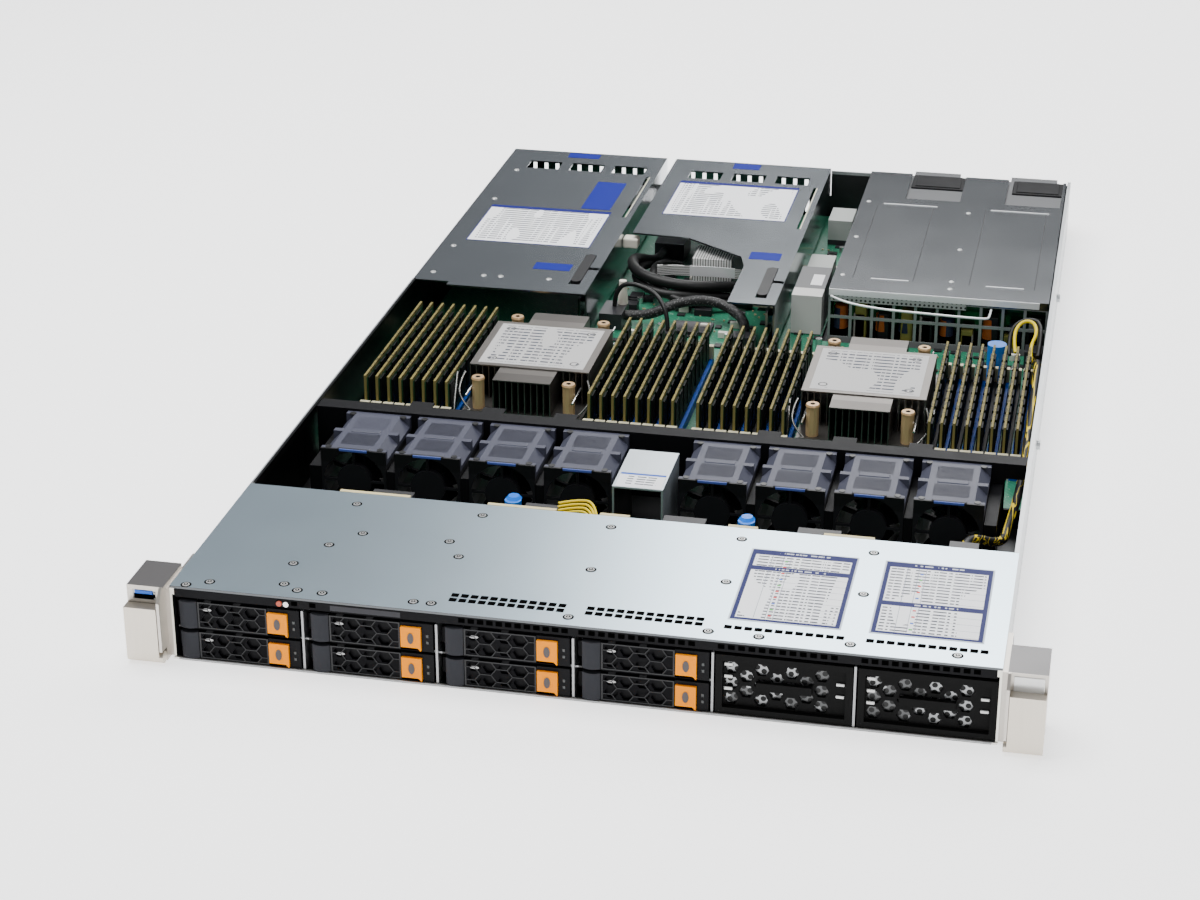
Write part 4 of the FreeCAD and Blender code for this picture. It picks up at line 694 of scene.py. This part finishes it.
memory_black = moulded("memory_black", (0.006, 0.007, 0.007), 0.45, specular_ior_level=0.15)
chip_step, chip_length, chip_foot, chip_top = 13.6, 9.6, 17.5, 35.6
for bank, start in enumerate((-203.97, -58.57, 10.63, 153.63)):
    memory = bmesh.new()
    for module in range(8):
        x = start + slot_pitch * 1000 * module
        for chip in range(9):
            y = 312.5 + chip_step * chip + (3.0 if chip > 4 else 0.0)
            slab(memory, (x - 1.75, y, chip_foot), (x - 0.72, y + chip_length, chip_top))
            slab(memory, (x + 0.72, y, chip_foot), (x + 1.75, y + chip_length, chip_top))
    finished(f"memory_chips_{bank + 1}", memory, memory_black)


# The heatsinks are stacked aluminium fins under a folded cap, held by four spring nuts with tan collars.
# A printed label lies on each cap, and bent spring wires run down at the corners.
sink_fins = sheet_metal("sink_fins", (0.16, 0.150, 0.14), 0.38, 0.9)
sink_fins.tint(sink_fins.z > 0.0391, (0.20, 0.185, 0.17))
sink_fins.tint((sink_fins.z > 0.0300) * (1 - sink_fins.y.between(0.3290, 0.4230)), (0.13, 0.12, 0.11))
sink_middle = 376
ends = 1 - sink_fins.y.between((sink_middle - 48.5) * 0.001, (sink_middle + 48.5) * 0.001)
all_posts = 0
for middle in (-0.104, 0.110):
    off = sink_fins.x - middle
    posts = (off.between(-0.0340, -0.0250) + off.between(0.0250, 0.0340)) * ends * (sink_fins.z > 0.0170)
    sink_fins.tint(posts, (0.50, 0.34, 0.17))
    all_posts = posts + all_posts
sink_fins.vary("Metallic", 0.9, 0.1, all_posts)
dress(sink_fins, "cpu_heatsinks")


def lead(name, points, radius, finish, body="chassis"):
    """A round lead along a route in millimetres, held at both ends."""
    line = bpy.data.curves.new(name, "CURVE")
    line.dimensions = "3D"
    line.bevel_depth = radius * 0.001
    line.bevel_resolution = 5
    line.resolution_u = 12
    line.use_fill_caps = True
    spline = line.splines.new("NURBS")
    spline.points.add(len(points) - 1)
    for place, held in zip(points, spline.points):
        held.co = (*spot(*place), 1.0)
    spline.order_u = 3
    spline.use_endpoint_u = True
    line.materials.append(finish.material)
    made = bpy.data.objects.new(name, line)
    bpy.context.scene.collection.objects.link(made)
    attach(made, body)
    return made


nut_tan = sheet_metal("nut_tan", (0.55, 0.36, 0.18), 0.35, 0.3)
spring_steel = sheet_metal("spring_steel", (0.72, 0.72, 0.70), 0.22, 0.95)
sink_low, sink_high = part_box("cpu_heatsinks")
sink_top = sink_high[2] * 1000
for name, middle in (("left", sink_low[0] * 1000 + 39), ("right", sink_high[0] * 1000 - 39)):
    paper = printed_label(f"sink_label_{name}", (middle - 34.4, 342), (middle + 34.4, 410), sink_top,
                          "chassis", (0.50, 0.495, 0.49), None, 13)
    for x in (-27, 27):
        for y in (-26, 26):
            dx = paper.x - (middle + x) * 0.001
            dy = paper.y - (sink_middle + y) * 0.001
            paper.tint((dx * dx + dy * dy).between(0.0000045, 0.0000095), (0.10, 0.10, 0.10))
    nuts = bmesh.new()
    recesses = bmesh.new()
    wires = bmesh.new()
    for across in (-1, 1):
        for along in (-1, 1):
            x, y = middle + 29.5 * across, sink_middle + 53.5 * along
            turned(nuts, (x, y, 36.9), 4.4, 1.2, tip=3.9, sides=28)
            # Painted shade: a dark hexagon on each nut stands for the shade in its hollow.
            turned(recesses, (x, y, 38.06), 1.7, 0.1, sides=6)
            turned(wires, (x + across * 5.0, y - 13, 30), 0.7, 26, axis="Y", sides=10)
        edge = middle + 6.8 * across
        clip_way = [(edge + 33 * across, 331, 37.5), (edge + 37 * across, 326, 30),
                    (edge + 33 * across, 320, 20), (edge + 20 * across, 316, 11)]
        lead(f"sink_clip_{name}_{across + 1}", clip_way, 0.65, spring_steel)
        rod_way = [(edge + 38 * across, 329, 37.5), (edge + 38 * across, 321, 24),
                   (edge + 38 * across, 316, 10)]
        lead(f"sink_rod_{name}_{across + 1}", rod_way, 0.75, spring_steel)
    finished(f"sink_nuts_{name}", nuts, nut_tan)
    finished(f"sink_recesses_{name}", recesses, socket_dark)
    finished(f"sink_wires_{name}", wires, spring_steel)


# Two riser cages of plain sheet steel lie over the rear half; each holds an upright card with a socket.
# Rivets, pressed windows and paper labels show on top; a black sliding latch locks each at the front.
riser_steel = sheet_metal("riser_steel", (0.42, 0.45, 0.475), 0.19, 1.0, grain=None, cloud=0.04)
card_band = riser_steel.z < 0.0353
for right in (-0.0954, 0.0345):
    card = riser_steel.x.between(right - 0.0175, right - 0.0060) * card_band
    riser_steel.tint(card, (0.022, 0.095, 0.045))
# Painted shade: the middle riser darkens towards its front to tone down the reflection it catches.
riser_steel.tint(((0.72 - riser_steel.y) / 0.20) * (riser_steel.x > -0.09), (0.25, 0.27, 0.285))
dress(riser_steel, "left_riser", "middle_riser")

latch_black = moulded("latch_black", (0.008, 0.008, 0.009), 0.35)
dress(latch_black, "left_riser_latch", "middle_riser_latch")

riser_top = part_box("left_riser")[1][2] * 1000
ruled = ((0.95, 0.96, 0.98), (0.008, 0.012, 0.16), 18, 5.5, 0.8)
plain_blue = ((0.006, 0.014, 0.24), None, 0)
riser_labels = (("left_riser", "label", (-203, 557), (-112, 636), ruled),
                ("left_riser", "side_label", (-136.5, 640.6), (-114.4, 704), plain_blue),
                ("left_riser", "small_label", (-142, 508), (-115.6, 521), plain_blue),
                ("left_riser", "rear_label", (-173, 759), (-148, 770), plain_blue),
                ("middle_riser", "label", (-75, 641), (17, 720), ruled),
                ("middle_riser", "rear_label", (-41, 757), (-20, 770), plain_blue),
                ("middle_riser", "small_label", (2.8, 558), (25, 573), plain_blue))
for riser, kind, low, high, style in riser_labels:
    printed_label(f"{riser}_{kind}", low, high, riser_top, riser, *style)
rail_cream = sheet_metal("rail_cream", (0.72, 0.70, 0.55), 0.35, 0.3)
for name, middle in (("left_riser", -101.6), ("middle_riser", 28.3)):
    rail = bmesh.new()
    slab(rail, (middle + 1.2, 628, riser_top - 0.1), (middle + 2.1, 722, riser_top + 0.3), 0.1)
    finished(f"{name}_slit_edge", rail, rail_cream, name)

riser_rivets = bmesh.new()
riser_rivet_spots = ((-208.5, 543), (-208.3, 488), (-172, 488), (-160, 488.6), (-126, 490),
                     (-205, 650), (-205, 720))
for x, y in riser_rivet_spots:
    turned(riser_rivets, (x, y, riser_top - 0.05), 2.1, 0.5, tip=1.6, sides=20)
finished("left_riser_rivets", riser_rivets, rivet_steel, "left_riser")


# The power supplies lie side by side in their own steel cage, its front a lattice for the air.
# The cage is folded and riveted, with a front lip painted bright as a highlight and a bent wire; each
# supply slides out behind.
cage_steel = sheet_metal("cage_steel", (0.19, 0.20, 0.21), 0.19, 1.0, grain=None, cloud=0.04)
lattice = (cage_steel.y < 0.5150) * (cage_steel.z < 0.0375)
cage_steel.tint(lattice, (0.235, 0.25, 0.245))
cage_steel.vary("Metallic", 1.0, 0.2, lattice)
cage_steel.tint(cage_steel.y.between(0.5275, 0.5310) * (cage_steel.z < 0.0355), (0.03, 0.10, 0.05))
dress(cage_steel, "psu_cage")

supply_steel = sheet_metal("supply_steel", (0.45, 0.46, 0.465), 0.4, 0.8)
supply_steel.tint(supply_steel.y > 0.7762, (0.012, 0.012, 0.013))
# Painted shade: the top of each supply at the rear, under the cage's notch, is darkened.
supply_steel.tint((supply_steel.y > 0.7190) * (supply_steel.z > 0.0398), (0.10, 0.103, 0.107))
grille_black = moulded("grille_black", (0.006, 0.006, 0.007), 0.5, specular_ior_level=0.1)
for index, (left, right) in enumerate(((99, 139.4), (175.6, 213.6))):
    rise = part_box(f"power_supply_{index + 1}")[1][2] * 1000
    grille = bmesh.new()
    slab(grille, (left, 745, rise - 0.4), (right, 775.4, rise + 1.0), 0.6)
    slab(grille, (left + 3, 748, rise + 0.6), (right - 3, 774, rise + 1.6), 0.5)
    finished(f"supply_grille_{index + 1}", grille, grille_black, f"power_supply_{index + 1}")

latch_orange = moulded("latch_orange", (0.80, 0.32, 0.05), 0.4)
for index in (1, 2):
    dress(supply_steel, f"power_supply_{index}")
    dress(latch_orange, f"supply_latch_{index}")

cage_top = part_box("psu_cage")[1][2] * 1000
# Painted shade: thin dark lines along the sides of the two embossed panels on the cage top.
ridges = bmesh.new()
for left, right in ((79.5, 121.0), (159.5, 204.0)):
    for x in (left, right):
        slab(ridges, (x - 0.28, 536, cage_top - 0.1), (x + 0.28, 697, cage_top + 0.06))
seam_dark = Finish("seam_dark", (0.055, 0.056, 0.060), 0.6, specular_ior_level=0.1)
finished("cage_ridges", ridges, seam_dark)

# The front lip is a real flange, painted bright as a highlight; the short bars across the panel ends are
# painted highlights.
lip_bright = sheet_metal("lip_bright", (0.86, 0.87, 0.88), 0.25, 0.25)
lip_and_highlights = bmesh.new()
slab(lip_and_highlights, (66.2, 511.1, 38.4), (209, 511.95, 42.95), 0.15)
for start, end, y in ((83.5, 123.5, 697), (92, 118, 536), (163, 206, 697), (171, 197, 536)):
    slab(lip_and_highlights, (start, y - 0.7, cage_top - 0.1), (end, y + 0.7, cage_top + 0.5), 0.2)
finished("cage_lip", lip_and_highlights, lip_bright)

band_steel = Finish("band_steel", (0.36, 0.37, 0.36), 0.4, 0.3)
dot_pitch = 0.0031
dot_x = (band_steel.x / dot_pitch).part() - 0.5
dot_z = (band_steel.z / dot_pitch).part() - 0.5
band_steel.tint((dot_x * dot_x + dot_z * dot_z) < 0.07, (0.02, 0.02, 0.02))
band = bmesh.new()
slab(band, (67, 511.2, 34.1), (160, 511.9, 38.4))
finished("cage_band", band, band_steel)

lead("cage_wire", [(68, 508, 39), (76, 501, 38), (101.5, 494.5, 37), (140, 492, 37), (175, 490, 37),
                   (177, 494, 37), (177, 508, 37)], 0.8, lip_bright)
part_kinds = (("coil_orange", (0.36, 0.09, 0.015)), ("can_navy", (0.02, 0.025, 0.055)),
              ("wrap_olive", (0.22, 0.21, 0.05)), ("plug_pale", (0.34, 0.33, 0.30)),
              ("part_dark", (0.010, 0.010, 0.011)))
for kind, (name, colour) in enumerate(part_kinds):
    parts = bmesh.new()
    for bay in range(10):
        if (bay * 3 + kind) % 5 < 2:
            x = 75 + 14.6 * bay + random.uniform(-2, 2)
            if kind < 2:
                turned(parts, (x, 520.5, 12), 4.6, random.uniform(6, 18), tip=4.3, sides=20)
            else:
                slab(parts, (x - 4.5, 516.5, 6), (x + 3.5, 525.5, random.uniform(14, 34)), 0.6)
    finished(f"supply_parts_{name}", parts, moulded(name, colour, 0.4))

cage_rivets = bmesh.new()
for x, y in ((147.3, 687.6), (147.5, 607), (147.2, 541), (147.4, 526.5), (72, 540), (72, 620), (72, 700)):
    turned(cage_rivets, (x, y, cage_top - 0.05), 1.9, 0.5, tip=1.4, sides=18)
finished("cage_rivets", cage_rivets, rivet_steel)


# Sleeved leads run between the plugs: a thick black bundle, a braided sleeve and leads along the wall.
# They are round and smooth and keep their shape; a flat silver ribbon cable rises beside the bundle.
bundle_black = moulded("bundle_black", (0.008, 0.008, 0.008), 0.42, 700, 0.0002)
braid_grey = moulded("braid_grey", (0.012, 0.012, 0.012), 0.45, 1400, 0.0003)
braid_grey.tint(braid_grey.cells(620) < 0.30, (0.10, 0.10, 0.10))
lead_yellow = moulded("lead_yellow", (0.80, 0.60, 0.01), 0.4)
side_black = moulded("side_black", (0.010, 0.010, 0.010), 0.45)
side_black.tint(side_black.noise(300, 1, (1, 0.05, 1)).between(0.51, 0.555), (0.75, 0.55, 0.02))
leads = [
    lead("black_bundle", [(-72, 639.7, 14), (-72, 615, 14), (-88, 590, 27), (-78, 556, 27), (-48, 545, 24),
                          (-16, 556, 21), (8, 580, 14), (8, 607.7, 14)], 4.0, bundle_black),
    lead("braided_sleeve", [(-75.7, 509, 13), (-60, 509, 13), (-40, 519, 22), (-18, 525, 23), (2, 516, 19),
                            (12, 498, 15), (12, 478.3, 15)], 3.6, braid_grey),
    lead("thin_lead", [(-84, 512, 18.3), (-84, 512, 27), (-76, 511.5, 37), (-58, 508, 34), (-48, 498, 30),
                       (-42.5, 490.5, 22), (-42, 489, 12.5)], 1.6, bundle_black),
    lead("side_lead", [(207, 483.7, 13), (207, 464, 13), (212, 444, 28), (213.4, 420, 35), (213.6, 375, 34),
                       (213.6, 315, 33), (213.4, 262, 28), (211, 232, 21), (208.5, 208, 20), (207, 184, 21),
                       (188, 166, 33.5), (188, 149, 33.5)], 2.6, side_black),
    lead("yellow_loop", [(-40.7, 145, 34), (-29, 145, 34), (-21, 140, 34), (-18.5, 133.3, 34)], 1.2,
         lead_yellow),
]
for piece in leads:
    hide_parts("cable_looms")
for index in range(4):
    rise, shift = 1.2 + 1.3 * index, 2.1 * index
    route = [(-41.5, 143 + shift, 34 + rise), (-32, 145 + shift, 36 + rise),
             (-22 + shift * 0.4, 141 + shift, 38 + rise), (-18.5 + shift * 0.4, 134, 33 + rise)]
    lead(f"yellow_lead_{index + 1}", route, 0.75, lead_yellow)
lead("wall_loop_yellow", [(197, 462, 26), (194, 474, 34), (199, 487, 39), (207, 487, 39), (210, 474, 36),
                          (206, 462, 30), (208, 446, 27)], 1.2, lead_yellow)
lead("wall_loop_black", [(193, 462, 24), (191, 478, 34), (199, 492, 38), (210, 490, 39), (213, 474, 35),
                         (212, 452, 28)], 1.5, bundle_black)
lead("second_bundle", [(-66, 634, 9), (-78, 606, 18), (-84, 572, 19), (-62, 541, 18), (-30, 548, 16),
                       (0, 566, 10)], 3.4, bundle_black)
lead("third_bundle", [(-58, 628, 8), (-68, 600, 22), (-70, 566, 21), (-48, 538, 15), (-20, 541, 14),
                      (6, 556, 9)], 3.0, bundle_black)
ribbon_silver = Finish("ribbon_silver", (0.80, 0.80, 0.78), 0.28, 0.35)
ribbon_silver.tint(((ribbon_silver.x / 0.0019).part() < 0.28), (0.03, 0.03, 0.03))
ribbon = bmesh.new()
slab(ribbon, (-40, 572.4, 7), (-11, 573.6, 34.5), 0.2)
slab(ribbon, (-40, 572.4, 34), (-11, 600, 35.2), 0.2)
finished("ribbon_upright", ribbon, ribbon_silver)

band_silver = Finish("band_silver", (0.80, 0.80, 0.78), 0.28, 0.35)
band_silver.tint(((band_silver.z / 0.0013).part() < 0.25), (0.04, 0.04, 0.04))
band_silver.tint(band_silver.x.between(-0.040, -0.008), (0.95, 0.96, 0.97))
way = [(-62, 555, 27), (-52, 560, 26), (-40, 563.5, 25), (-24, 566, 24.5), (-8, 567, 24), (-3, 567, 24)]
band = bmesh.new()
rims = []
rim_corners = ((0, 0), (0, 7.5), (0.7, 7.5), (0.7, 0))
for x, y, z in way:
    rims.append([band.verts.new(spot(x, y + side, z + rise)) for side, rise in rim_corners])
for first, second in zip(rims, rims[1:]):
    for index in range(4):
        band.faces.new((first[index], second[index], second[(index + 1) % 4], first[(index + 1) % 4]))
band.faces.new(rims[0])
band.faces.new(rims[-1][::-1])
bmesh.ops.recalc_face_normals(band, faces=band.faces)
finished("ribbon_band", band, band_silver)

plug_cream = moulded("plug_cream", (0.74, 0.70, 0.60), 0.4)
caps = bmesh.new()
turned(caps, (-79.5, 518.5, 18), 3.6, 17, tip=2.6, sides=24)
finished("lead_cap", caps, plug_cream)

clip = bmesh.new()
slab(clip, (-95.2, 594, 31), (-84, 604, 38.5), 1.2)
finished("riser_clip", clip, plug_cream, "left_riser")


# The studio: a pale floor that glows like a light table, a soft box behind the server whose mirror image
# runs across the sheet metal, a broad light above, a weak one in front, and a grey-white surround.
floor_paint = Finish("floor_paint", (0.90, 0.90, 0.90), 0.7)
floor_paint.vary("Roughness", 0.66, 0.74, floor_paint.noise(3, 1))
floor_paint.shader.inputs["Emission Color"].default_value = (1.0, 1.0, 1.0, 1.0)
floor_paint.shader.inputs["Emission Strength"].default_value = 1.4
floor = bmesh.new()
floor_reach = 6000
slab(floor, (-floor_reach, -floor_reach, -12), (floor_reach, floor_reach, -0.2))
floor_piece = bpy.data.meshes.new("floor")
floor.to_mesh(floor_piece)
floor.free()
floor_piece.materials.append(floor_paint.material)
floor_object = bpy.data.objects.new("floor", floor_piece)
bpy.context.scene.collection.objects.link(floor_object)
world = bpy.data.worlds.new("surround")
world.use_nodes = True
background = world.node_tree.nodes["Background"]
background.inputs["Color"].default_value = (0.90, 0.94, 1.0, 1)
background.inputs["Strength"].default_value = 0.26
bpy.context.scene.world = world
lights = (("above", (-0.5, 0.3, 2.0), (1.6, 1.6), 74, (0, 0.38, 0)),
          ("front", (1.2, -1.5, 1.3), (1.2, 1.2), 12, (0, 0.2, 0)),
          ("behind", (0.485, 2.6, 1.69), (2.03, 1.14), 52, (0.1, 0.1, 0.1)))
for name, place, (wide, tall), power, target in lights:
    light = bpy.data.lights.new(name, "AREA")
    light.shape = "RECTANGLE"
    light.size = wide
    light.size_y = tall
    light.energy = power
    lamp = bpy.data.objects.new(name, light)
    lamp.location = place
    lamp.rotation_euler = (Vector(target) - Vector(place)).to_track_quat("-Z", "Y").to_euler()
    bpy.context.scene.collection.objects.link(lamp)


# The camera stands where the photographer stood: high, in front and a little to the right.
# Its lens follows from the focal length that was solved for the photo.
view_azimuth, view_elevation, view_roll = math.radians(12.04), math.radians(24.42), math.radians(-0.12)
camera_place = spot(254.39, -1125.09, 666.14)
back = Vector((math.sin(view_azimuth) * math.cos(view_elevation),
               -math.cos(view_azimuth) * math.cos(view_elevation),
               math.sin(view_elevation)))
lens = bpy.data.cameras.new("camera")
lens.sensor_width = 36
photo_width, focal_pixels = 1200, 2553.73
lens.lens = focal_pixels / photo_width * lens.sensor_width
camera = bpy.data.objects.new("camera", lens)
aim = Matrix.LocRotScale(camera_place, back.to_track_quat("Z", "Y"), None)
camera.matrix_world = aim @ Matrix.Rotation(view_roll, 4, "Z")
bpy.context.scene.collection.objects.link(camera)
bpy.context.scene.camera = camera
